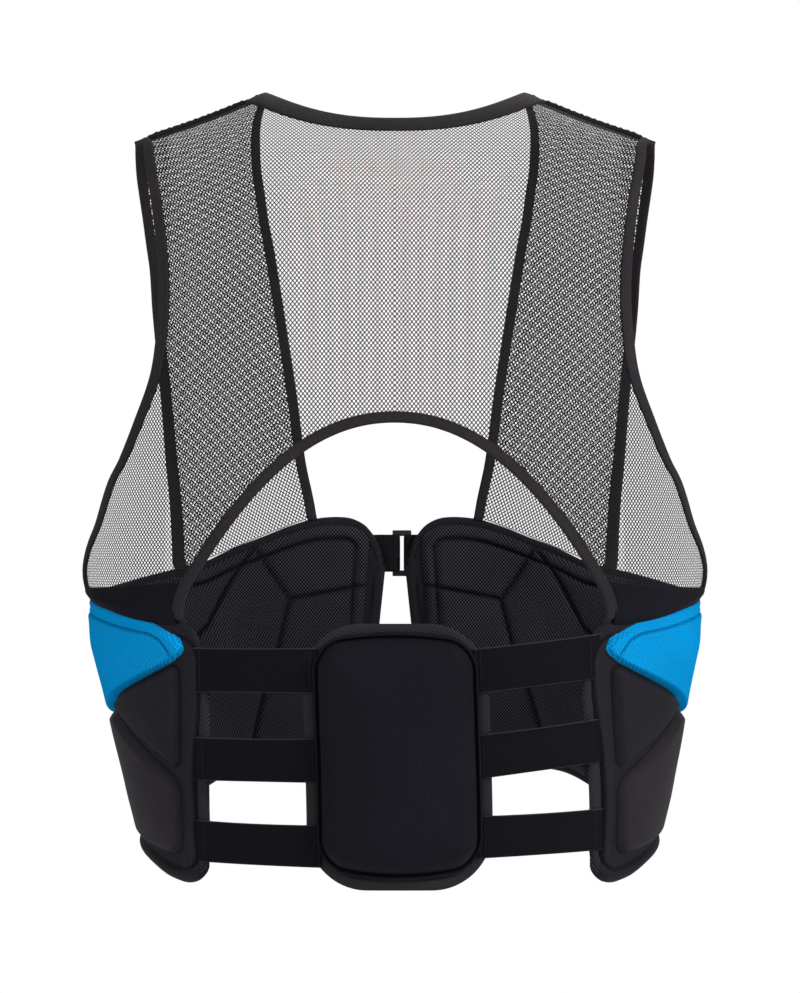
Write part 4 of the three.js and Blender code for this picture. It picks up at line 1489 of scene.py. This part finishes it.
    def pad_foot(self, turn: np.ndarray) -> np.ndarray:
        """Return the height of the pads' bottom edge."""
        share = ease((turn - PATTERN.flange_turn) / PATTERN.flange_run)
        return PATTERN.wing_bottom(turn) + mix(PATTERN.corner_flange, PATTERN.lower_flange, share)

    def raised(self, edge: np.ndarray, bevel: float, crown: float) -> np.ndarray:
        """Return a moulded pad's height for the distance from its edge.

        Args:
            edge: distance from the pad's edge.
            bevel: width of the sloping border.
            crown: extra height in the middle.

        Returns:
            Heights off the torso.
        """
        share = np.clip(edge / bevel, 0, 1)
        slope = 0.55 * share + 0.45 * ease(share)
        shoulder = np.clip(edge / (bevel * 1.5), 0, 1)
        top = self.layer_gap + self.rise
        climb = 0.8 * slope + 0.2 * np.sqrt(1 - (1 - shoulder) ** 2)
        return mix(-0.0005, top, climb) + crown * ease(edge / 0.03)

    def upper_pad(self) -> bpy.types.Object:
        """Build the blue pad, with its ridge line below the top edge.

        Returns:
            The new object.
        """
        slab = Slab(170, 54, 0.4)
        pattern = PATTERN

        def top(turn: np.ndarray) -> np.ndarray:
            """Return the height of the top edge."""
            corner = np.maximum(0, (pattern.corner_turn - turn) / (pattern.corner_turn - pattern.seam_start))
            return pattern.wing_top(turn) - pattern.inset + 0.0006 - pattern.corner_drop * corner**2

        def bottom(turn: np.ndarray) -> np.ndarray:
            """Return the height of the bottom edge."""
            return pattern.upper_seam(turn) - pattern.inset - 0.0013

        turn, z = self.pad_spots(slab, self.pad_back, self.pad_front, top, bottom)
        back, front, high, low = margins(TORSO.point(turn, z))
        edge = rounded(np.minimum(back, front), np.minimum(high, low), 0.006)
        over = self.raised(edge, 0.0035, 0.0008)
        ridge = rounded(rounded(high, back, 0.02), front, 0.02) - self.ridge_drop
        over = over - self.ridge_depth * groove(ridge, 0.0018) * ease(low / 0.006)
        over = over - 0.0006 * (1 - ease((ridge + 0.0008) / 0.002))
        settled = self.band_settle * np.clip(-ridge / self.ridge_drop, 0, 1)
        settled = settled + self.top_settle * (1 - ease((high - 0.008) / 0.022))
        over = over - settled * ease(edge / 0.003) * ease((back - 0.008) / 0.024)
        over = np.maximum(over, mix(-0.0005, 0.0008, np.clip(edge / 0.0012, 0, 1)))
        under = np.full_like(z, -self.pad_sink)
        # Painted shade along the ridge line's groove.
        seam_shade = 0.6 * groove(ridge, 0.0014)
        piece = self.laid("blue_pad", "upper_pad", slab, turn, z, over, under, PAD_BLUE, seam_shade)
        return piece

    def lower_pads(self) -> list[bpy.types.Object]:
        """Build the three black pads: the triangle, the lower one and the front one.

        Returns:
            The three new objects.
        """
        pattern = PATTERN
        tight = pattern.channel + pattern.inset - 0.0010

        def seam(turn: np.ndarray) -> np.ndarray:
            """Return the height of the edge along the blue pad."""
            return pattern.upper_seam(turn) - tight

        def slant_top(turn: np.ndarray) -> np.ndarray:
            """Return the height of the lower pad's top edge."""
            return np.minimum(pattern.slant(turn) - pattern.channel, seam(turn))

        def slant_bottom(turn: np.ndarray) -> np.ndarray:
            """Return the height of the triangle's slanting edge."""
            return pattern.slant(turn) + pattern.channel * 0.8

        def triangle_front(z: np.ndarray) -> np.ndarray:
            """Return the turn of the triangle's front corner."""
            return pattern.triangle_turn + 0 * z

        def hip_front(z: np.ndarray) -> np.ndarray:
            """Return the turn of the lower pad's front edge."""
            return pattern.front_channel + 0 * z

        def belly_back(z: np.ndarray) -> np.ndarray:
            """Return the turn of the front pad's back edge."""
            return TORSO.beside(hip_front(z), z, pattern.channel, 1)

        triangle = Slab(64, 46, 0.4), self.black_back, triangle_front, seam, slant_bottom
        hip = Slab(100, 60, 0.4), self.black_back, hip_front, slant_top, self.pad_foot
        belly = Slab(70, 56, 0.4), belly_back, self.pad_front, seam, self.pad_foot
        edges = {
            "slant_pad": ("triangle_pad", PAD_BLACK, *triangle),
            "hip_pad": ("lower_pad", PAD_HIP, *hip),
            "belly_pad": ("front_pad", PAD_BLACK, *belly),
        }
        made = []
        for kind, (node, finish, slab, back, front, top, bottom) in edges.items():
            turn, z = self.pad_spots(slab, back, front, top, bottom)
            spots = margins(TORSO.point(turn, z))
            edge = rounded(np.minimum(*spots[:2]), np.minimum(*spots[2:]), 0.010)
            over = self.raised(edge, 0.0062, 0.0012)
            over = over + 0.0014 * (1 - ease(spots[2] / 0.008)) * (kind != "hip_pad") * ease(edge / 0.003)
            under = np.full_like(z, -self.pad_sink)
            # Painted shade along the pads' edge channels.
            piece = self.laid(kind, node, slab, turn, z, over, under, finish, 0.8 * groove(edge, 0.0034))
            made.append(piece)
        return made

    def lining(self) -> bpy.types.Object:
        """Build the quilted lining on the wearer's side, with its sewn channels.

        Returns:
            The new object.
        """
        slab = Slab(196, 112)
        middle = -PATTERN.wing_top_drop - PATTERN.wing_height / 2
        girth = self.girth(np.array([PATTERN.wing_back_turn(middle), PATTERN.wing_front_turn(middle)]))
        side_inset = self.lining_inset / abs(girth[1] - girth[0])
        turn, z = self.wing_spots(slab, side_inset, self.lining_inset / PATTERN.wing_height)
        edge = border(TORSO.point(turn, z), 0.016)
        seams = np.minimum(self.quilt_distance(turn, z), np.abs(edge - 0.009))
        outer = -self.shell_thickness - 0.0001
        puff = 0.0016 * np.sqrt(np.clip(seams / 0.012, 0, 1)) * np.clip((edge - 0.002) / 0.006, 0, 1)
        level = -self.shell_thickness - self.layer_gap - self.lining_thickness
        under = mix(-self.shell_thickness - 0.0009, level, np.sqrt(np.clip(edge / 0.004, 0, 1)))
        under = under - puff + 0.0030 * groove(seams, 0.0030) * np.clip(edge / 0.004, 0, 1)
        # Painted shade along the quilted channels and the border seam.
        piece = self.laid("quilted_lining", "lining", slab, turn, z, np.full_like(z, outer), under, LINING,
                          groove(seams, 0.0028))
        return piece

    def girth(self, turn: np.ndarray) -> np.ndarray:
        """Return the distance round the torso from the side to a turn.

        Args:
            turn: degrees round the torso.

        Returns:
            The distances, below nothing behind the side.
        """
        turns = np.linspace(SPINE_TURN, CHEST_TURN, 361)
        line = TORSO.point(turns, np.full(turns.shape, GIRTH_LEVEL))
        gone = gone_along(line)
        return np.interp(turn, turns, gone) - np.interp(0, turns, gone)

    def quilt_distance(self, turn: np.ndarray, z: np.ndarray) -> np.ndarray:
        """Return how far each spot lies from the nearest sewn channel of the lining.

        Args:
            turn: turn of each spot.
            z: height of each spot.

        Returns:
            The distances along the cloth.
        """
        lines = [
            [(61.0, -0.262), (71.2, -0.312), (88.0, -0.301)],
            [(71.2, -0.312), (67.6, -0.343), (53.5, -0.430)],
            [(64.5, -0.275), (49.9, -0.330), (38.0, -0.352), (33.0, -0.395), (45.0, -0.440)],
            [(38.0, -0.352), (14.0, -0.338), (-6.0, -0.366), (2.0, -0.408), (33.0, -0.395)],
            [(14.0, -0.338), (12.0, -0.300)],
            [(-6.0, -0.366), (-26.0, -0.352), (-34.0, -0.318)],
            [(-26.0, -0.352), (-40.0, -0.392), (-34.0, -0.430), (-8.0, -0.425), (2.0, -0.408)],
            [(-40.0, -0.392), (-56.0, -0.386)],
            [(-34.0, -0.430), (-40.0, -0.470)],
            [(-8.0, -0.425), (-4.0, -0.470)],
        ]
        u = self.girth(turn)
        nearest = np.full(u.shape, 1.0)
        for line in lines:
            flat = [(float(self.girth(np.array(spot[0]))), spot[1]) for spot in line]
            for (u1, v1), (u2, v2) in zip(flat, flat[1:]):
                run = np.array([u2 - u1, v2 - v1])
                share = np.clip(((u - u1) * run[0] + (z - v1) * run[1]) / run.dot(run), 0, 1)
                nearest = np.minimum(nearest, np.hypot(u - u1 - share * run[0], z - v1 - share * run[1]))
        return nearest

    def gusset(self) -> bpy.types.Object:
        """Build the stretch gusset between the net's hem, the arch's tape and the shell.

        Returns:
            The new object.
        """
        _, sewn = arch_lines(0.007)
        tuck = 0.002

        def inner_turn(z: np.ndarray) -> np.ndarray:
            """Return the turn of the edge under the arch's tape."""
            x = np.interp(-z, -sewn[:, 1], sewn[:, 0])
            return TORSO.beside(-TORSO.turn_at(x, z), z, tuck, -1)

        def hem(turn: np.ndarray) -> np.ndarray:
            """Return the height of the edge sewn to the net."""
            return PATTERN.hem(turn) + 0.0004

        slab = Slab(70, 26)
        across, down = slab.shares()
        top = meeting(inner_turn, hem, -PATTERN.hem_arch)
        bottom = meeting(inner_turn, PATTERN.wing_top, -PATTERN.hem_side)
        front_end = -0.6
        inner = inner_turn(mix(top, bottom, down))
        turn = mix(inner, front_end, across)
        high_turn = mix(inner_turn(top), front_end, across)
        high = hem(high_turn) - 0.0035 * np.clip((high_turn + 3) / 2.4, 0, 1) ** 2
        low_turn = mix(inner_turn(bottom), front_end, across)
        low = PATTERN.wing_top(low_turn) + mix(-0.0015, 0.0008, ease((low_turn + 40) / 25))
        z = mix(high, low, down)
        _, _, from_top, from_bottom = margins(TORSO.point(turn, z))
        fold = mix(0.0022, 0.0042, ease((turn + 45) / 30)) * (1 - 0.85 * ease((turn + 20) / 16))
        fold = fold * groove(from_bottom - 0.0055, 0.0095)
        ripple = 0.00012 * np.sin(turn * 0.9 + 3 * np.sin(turn * 0.31)) * ease(from_top / 0.006)
        hem_roll = 0.0007 * groove(from_top - 0.0022, 0.004)
        over = -0.0002 + fold + ripple + hem_roll - 0.0009 * roll_off(from_top, 0.0012)
        under = over - self.gusset_thickness
        piece = self.laid("stretch_panel", "gusset", slab, turn, z, over, under, STRETCH)
        flat = travelled(TORSO.point(turn, z))
        round(cloth_area(piece) / 2, 5)
        return piece


@dataclass
class SpinePad:
    """Pad over the lower spine: a soft rim and a domed cushion sewn to it."""

    drop: float = 0.4008
    rim_half: float = 0.057
    rim_height: float = 0.1615
    rim_radius: float = 0.037
    rim_thickness: float = 0.005
    rim_seam: float = 0.0085
    half: float = 0.0502
    height: float = 0.1365
    radius: float = 0.018
    rise: float = 0.0018
    top_bow: float = 0.006
    bottom_bow: float = 0.008
    crown: float = 0.020
    base: float = 0.0006

    def spots(self, slab: Slab, half: float, height: float, radius: float) -> tuple[np.ndarray, ...]:
        """Spread a square grid over a rounded rectangle.

        Args:
            slab: the grid.
            half: half the rectangle's width.
            height: the rectangle's height.
            radius: radius of its corners.

        Returns:
            The x, the height above the pad's middle and the distance from the edge of each grid point.
        """
        across, down = slab.shares()
        u, v = 2 * across - 1, 1 - 2 * down
        ring = np.maximum(np.maximum(np.abs(u), np.abs(v)), 1e-9)
        edge_x, edge_z = u / ring * half, v / ring * height / 2
        core_x = np.clip(edge_x, radius - half, half - radius)
        core_z = np.clip(edge_z, radius - height / 2, height / 2 - radius)
        off_x, off_z = edge_x - core_x, edge_z - core_z
        reach = np.maximum(np.hypot(off_x, off_z), 1e-9)
        corner = (off_x != 0) & (off_z != 0)
        edge_x = np.where(corner, core_x + off_x / reach * radius, edge_x)
        edge_z = np.where(corner, core_z + off_z / reach * radius, edge_z)
        x, z = edge_x * ring, edge_z * ring
        far_x = np.maximum(0, np.abs(x) - half + radius)
        far_z = np.maximum(0, np.abs(z) - height / 2 + radius)
        outside = np.hypot(far_x, far_z) - radius
        inside = np.minimum(np.maximum(np.abs(x) - half, np.abs(z) - height / 2), 0)
        edge = np.where((far_x > 0) & (far_z > 0), -outside, -inside)
        return x, z, np.maximum(edge, 0)

    def laid(self, name: str, node: str, slab: Slab, x: np.ndarray, z: np.ndarray, over: np.ndarray,
             under: np.ndarray, finish: Finish, seam_shade: np.ndarray) -> bpy.types.Object:
        """Build one plate of the pad between two heights off the torso.

        Args:
            name: the piece's name.
            node: the node that it stands for.
            slab: the grid that it is made from.
            x: distance of each grid point from the middle.
            z: height of each grid point.
            over: how far the outer face lies off the torso.
            under: how far the inner face lies off the torso.
            finish: its finish.
            seam_shade: painted shade of each grid point along its seams.

        Returns:
            The new object.
        """
        side = np.where(x < 0, -1, 1)
        turn = -TORSO.turn_at(x, z)
        piece = slab.lay(name, TORSO.lifted(side, turn, z, over), TORSO.lifted(side, turn, z, under), finish,
                         np.stack([x, z], axis=-1), seam_shade)
        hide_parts(node)
        return piece

    def rim(self) -> bpy.types.Object:
        """Build the soft knitted rim.

        Returns:
            The new object.
        """
        slab = Slab(64, 80, 0.4)
        x, z, edge = self.spots(slab, self.rim_half, self.rim_height, self.rim_radius)
        half = self.rim_thickness / 2
        rolled = half * roll_off(edge, 0.004)
        over = -rolled - 0.0012 * groove(edge - self.rim_seam, 0.003)
        under = -self.rim_thickness + rolled
        # Painted shade along the rim's seam.
        seam_shade = 0.8 * groove(edge - self.rim_seam, 0.002)
        piece = self.laid("spine_rim", "back_pad_rim", slab, x, z - self.drop, over, under, RIM, seam_shade)
        return piece

    def cushion(self) -> bpy.types.Object:
        """Build the domed cushion, with a piped edge and the seam beside it.

        Returns:
            The new object.
        """
        slab = Slab(80, 96, 0.5)
        x, z, edge = self.spots(slab, self.half, self.height, self.radius)
        bow = np.where(z > 0, self.top_bow, self.bottom_bow) * (1 - (x / self.half) ** 2)
        z = z + bow * z / (self.height / 2) + self.rise
        piping = 0.0034 * np.sqrt(np.maximum(0, 1 - ((edge - 0.0013) / 0.0014) ** 2))
        wall = 0.0085 * (1 - (1 - np.clip((edge - 0.0026) / 0.009, 0, 1)) ** 2.2)
        dome = (self.crown - 0.0095) * (1 - (1 - np.clip(edge / self.half, 0, 1)) ** 2.4)
        over = self.base - 0.0008 + piping + wall * (edge > 0.0026) + dome * ease((edge - 0.0026) / 0.004)
        under = np.full_like(z, -0.001)
        # Painted shade in the seam beside the piping.
        seam_shade = groove(edge - 0.0027, 0.0015)
        piece = self.laid("spine_cushion", "back_pad", slab, x, z - self.drop, over, under, CUSHION, seam_shade)
        return piece


@dataclass
class Straps:
    """Elastic straps from the spine pad to the shells, three on each side."""

    widths: tuple[float, ...] = (0.0275, 0.0268, 0.0257)
    thickness: float = 0.0016
    base: float = 0.0006
    start: float = 0.0475
    end: float = 0.1255
    tuck: float = 0.0022
    selvedge: float = 0.0009
    first_stitch: float = 0.0038
    last_stitch: float = 0.0060
    left_drops: tuple = ((0.3482, 0.3488), (0.4030, 0.4034), (0.4549, 0.4542))
    right_drops: tuple = ((0.3488, 0.3402), (0.4008, 0.3919), (0.4493, 0.4470))

    def strap(self, name: str, number: int, stitching: Stitching) -> bpy.types.Object:
        """Build one strap, with its sewn ends.

        Args:
            name: left or right.
            number: 1 to 3 from the top.
            stitching: where its stitches go.

        Returns:
            The new object.
        """
        side = SIDES[name]
        slab = Slab(64, 18, 0.6)
        across, down = slab.shares()
        x = mix(self.start, self.end, across)
        inner_drop, outer_drop = (self.right_drops if side > 0 else self.left_drops)[number - 1]
        width = self.widths[number - 1]
        pinch = 1 - 0.02 * np.sin(np.pi * across)
        z = -mix(inner_drop, outer_drop, across) + width * (0.5 - down) * pinch
        edge = np.minimum(down, 1 - down) * width
        ends = np.minimum(across, 1 - across) * (self.end - self.start)
        fall = self.thickness / 2 * roll_off(edge, self.selvedge)
        ripple = 0.00008 * np.sin(x * 900 + number) * np.sin(down * np.pi) + 0.0001 * np.sin(down * 40)
        over = self.base + self.thickness - fall + ripple - 0.0006 * groove(ends - 0.0022, 0.0018)
        under = self.base + fall - 0.0006 * (ends < 0.01)
        dive = self.tuck * ease((across - 0.968) / 0.03)
        over, under = over - dive, under - dive
        turn = -TORSO.turn_at(x, z)
        outer = TORSO.lifted(side, turn, z, over)
        piece = slab.lay(f"elastic_{name}_{number}", outer, TORSO.lifted(side, turn, z, under), ELASTIC)
        dress_part(piece, EDGE_YARN, edge < self.selvedge)
        first = np.searchsorted(ends[0, :20], self.first_stitch)
        last = slab.columns - np.searchsorted(ends[0, :20], self.last_stitch)
        for column in (first, last):
            stitching.sew(outer[1:-1, column])
        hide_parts(f"strap_{name}_{number}")
        return piece


@dataclass
class Closure:
    """Webbing and ring that close the front."""

    drop: float = 0.2815
    web_width: float = 0.0252
    web_thickness: float = 0.0019
    ring_height: float = 0.0312
    ring_bar: float = 0.0025
    ring_end: float = 0.0040
    ring_opening: float = 0.0078
    off_centre: float = 0.0045
    fit: float = 0.0003
    fold_share: float = 0.6
    seat_gap: float = 0.003

    @property
    def fold_radius(self) -> float:
        """Return the inner radius of the webbing's fold round the ring's bar."""
        return self.ring_bar / 2 * np.sqrt(2) + self.fit

    @property
    def axis_y(self) -> float:
        """Return how far forward the ring lies."""
        chest = float(TORSO.point(np.array(CHEST_TURN), np.array(-self.drop))[1])
        return chest + 0.0006 + self.web_thickness + self.fold_radius

    def web(self, name: str, node: str, side: int, stitching: Stitching) -> bpy.types.Object:
        """Build the webbing that folds round one bar of the ring.

        Args:
            name: the piece's name.
            node: the node that it stands for.
            side: -1 or +1.
            stitching: where its stitches go.

        Returns:
            The new object.
        """
        fold = self.off_centre + side * (self.ring_opening / 2 + self.ring_bar / 2)
        middle = self.fold_radius + self.web_thickness / 2
        end = side * (PATTERN.wing_front + PATTERN.pad_flange - self.seat_gap)
        over_end = mix(fold, end, self.fold_share)
        angle = np.linspace(-np.pi / 2, np.pi / 2, 15)
        turn_x, turn_y = fold - side * middle * np.cos(angle), middle * np.sin(angle)
        under_x, over_x = np.linspace(end, fold, 12)[:-1], np.linspace(fold, over_end, 12)[1:]
        x = np.concatenate([under_x, turn_x, over_x])
        y = np.concatenate([np.full(11, -middle), turn_y, np.full(11, middle)])
        run = np.gradient(np.stack([x, y], axis=1), axis=0)
        run /= np.linalg.norm(run, axis=1, keepdims=True)
        across = np.stack([run[:, 1], -run[:, 0]], axis=1)
        slab = Slab(len(x) - 1, 14)
        _, down = slab.shares()
        from_edge = np.minimum(down, 1 - down) * self.web_width
        half = self.web_thickness / 2 * (1 - 0.7 * roll_off(from_edge, 0.0008))
        z = -self.drop + self.web_width * (0.5 - down)
        faces = []
        for way in (1, -1):
            flat_x, flat_y = x + way * half * across[:, 0], y + way * half * across[:, 1]
            faces.append(np.stack([flat_x, flat_y + self.axis_y, z], axis=-1))
        piece = slab.lay(name, faces[0], faces[1], WEBBING)
        top = faces[0] if faces[0][5, -3, 1] > faces[1][5, -3, 1] else faces[1]
        stitching.sew(top[1:-1, -4])
        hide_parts(node)
        return piece

    def ring(self) -> bpy.types.Object:
        """Build the moulded ring, with rounded bars.

        Returns:
            The new object.
        """
        frame_mesh = bmesh.new()
        bmesh.ops.create_grid(frame_mesh, x_segments=3, y_segments=3, size=0.5)
        width = self.ring_opening / 2
        height = self.ring_height / 2
        for vert in frame_mesh.verts:
            column, row = round(vert.co.x * 6), round(vert.co.y * 6)
            vert.co.x = np.sign(column) * (width + (self.ring_bar if abs(column) == 3 else 0))
            vert.co.y = np.sign(row) * (height - (0 if abs(row) == 3 else self.ring_end))
        opening = [face for face in frame_mesh.faces if face.calc_center_median().length < width]
        bmesh.ops.delete(frame_mesh, geom=opening, context="FACES")
        raised = bmesh.ops.extrude_face_region(frame_mesh, geom=frame_mesh.faces[:], use_keep_orig=True)
        top = [item for item in raised["geom"] if isinstance(item, bmesh.types.BMVert)]
        bmesh.ops.translate(frame_mesh, verts=top, vec=(0, 0, self.ring_bar))
        bmesh.ops.recalc_face_normals(frame_mesh, faces=frame_mesh.faces)
        sharp = [edge for edge in frame_mesh.edges if edge.calc_face_angle(0) > 1]
        bmesh.ops.bevel(frame_mesh, geom=sharp, offset=0.0006, segments=3, affect="EDGES", profile=0.5,
                        material=-1)
        stand = Matrix.Rotation(np.pi / 2, 4, "X")
        move = Matrix.Translation((self.off_centre, self.axis_y + self.ring_bar / 2, -self.drop))
        bmesh.ops.transform(frame_mesh, matrix=move @ stand, verts=frame_mesh.verts)
        mesh = mesh_from("front_ring", frame_mesh)
        write_cloth_map(mesh, spots_of(mesh)[:, ::2])
        piece = new_object("front_ring", mesh, PLASTIC)
        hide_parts("closure_ring")
        return piece


@dataclass(frozen=True)
class Studio:
    """Pale floor, soft light and the camera at the photograph's angle."""

    view_width: float = 0.512
    distance: float = 2.2
    centre_x: float = 0.0032
    centre_z: float = -0.243
    floor_z: float = -0.70
    floor_half: float = 0.9
    sensor: float = 36.0
    surround: float = 0.45

    def camera(self) -> None:
        """Place the camera behind the vest, level with its middle."""
        data = bpy.data.cameras.new("camera")
        data.sensor_fit = "HORIZONTAL"
        data.sensor_width = self.sensor
        data.lens = self.sensor * self.distance / self.view_width
        data.clip_end = 50
        seat = bpy.data.objects.new("camera", data)
        seat.location = (self.centre_x, -self.distance, self.centre_z)
        seat.rotation_euler = (np.pi / 2, 0, 0)
        bpy.context.scene.collection.objects.link(seat)
        bpy.context.scene.camera = seat

    def floor(self) -> None:
        """Lay the floor under the vest."""
        ground = bmesh.new()
        bmesh.ops.create_grid(ground, x_segments=2, y_segments=2, size=self.floor_half)
        bmesh.ops.translate(ground, verts=ground.verts, vec=(0, 0, self.floor_z))
        mesh = mesh_from("floor", ground)
        plane = bpy.data.objects.new("floor", mesh)
        pale = bpy.data.materials.new("pale_floor")
        pale.use_nodes = True
        pale.node_tree.nodes["Principled BSDF"].inputs["Base Color"].default_value = (0.9, 0.9, 0.9, 1)
        pale.node_tree.nodes["Principled BSDF"].inputs["Roughness"].default_value = 0.9
        mesh.materials.append(pale)
        bpy.context.scene.collection.objects.link(plane)

    def lamp(self, name: str, place: tuple, size: float, power: float) -> None:
        """Hang one soft lamp that faces the vest's middle.

        Args:
            name: the lamp's name.
            place: where it hangs.
            size: width of its square face.
            power: its power in watts.
        """
        data = bpy.data.lights.new(name, "AREA")
        data.size = size
        data.energy = power
        lamp = bpy.data.objects.new(name, data)
        lamp.location = place
        towards = Vector((0, 0, self.centre_z)) - Vector(place)
        lamp.rotation_euler = towards.to_track_quat("-Z", "Y").to_euler()
        bpy.context.scene.collection.objects.link(lamp)

    def light(self) -> None:
        """Set the white surround and the lamps."""
        world = bpy.data.worlds.new("white_surround")
        world.use_nodes = True
        desk = Desk(world.node_tree)
        seen = desk.node("LightPath").outputs["Is Camera Ray"]
        strength = desk.math("MULTIPLY_ADD", seen, 1 - self.surround, self.surround)
        backdrop = world.node_tree.nodes["Background"]
        backdrop.inputs["Color"].default_value = (1, 1, 1, 1)
        world.node_tree.links.new(strength, backdrop.inputs["Strength"])
        bpy.context.scene.world = world
        self.lamp("key", (2.0, -1.5, 0.75), 0.8, 48)
        self.lamp("fill", (-1.7, -1.9, 0.7), 1.2, 22)
        self.lamp("rim", (0.4, 1.9, 1.4), 1.0, 14)
        bpy.context.scene.view_settings.view_transform = "Standard"


def report(pieces: Iterable[bpy.types.Object]) -> None:
    """Log each piece with its number of faces."""
    for piece in pieces:
        log.info("%s: %d faces", piece.name, len(piece.data.polygons))


def main() -> None:
    """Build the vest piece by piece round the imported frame."""
    logging.basicConfig(level=logging.INFO, format="%(message)s")
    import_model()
    studio = Studio()
    studio.camera()
    studio.floor()
    studio.light()

    nets = Nets(NetCloth())
    back = nets.back()
    fronts = {name: nets.front(name) for name in SIDES}
    sewing = Stitching()
    bindings = Bindings(sewing)
    trims = {name: [bindings.armhole(name), bindings.shoulder(name)] for name in SIDES}
    round_neck = bindings.neck()
    round_arch = bindings.arch()
    report([back, *fronts.values(), round_neck, round_arch, *trims["left"], *trims["right"]])
    round(cloth_area(back), 5)
    for name, front in fronts.items():
        round(cloth_area(front), 5)

    for name in SIDES:
        guard = SideGuard(name)
        report([guard.gusset(), guard.shell(), guard.upper_pad(), *guard.lower_pads(), guard.lining()])
    spine = SpinePad()
    report([spine.rim(), spine.cushion()])
    straps = Straps()
    report([straps.strap(name, number, sewing) for name in SIDES for number in (1, 2, 3)])
    closure = Closure()
    ring = closure.ring()
    web = closure.web("front_web_left", "closure_web", -1, sewing)
    tab = closure.web("front_web_right", "closure_tab", 1, sewing)
    report([ring, web, tab])
    report([sewing.finish("stitching")])


if __name__ == "__main__":
    main()
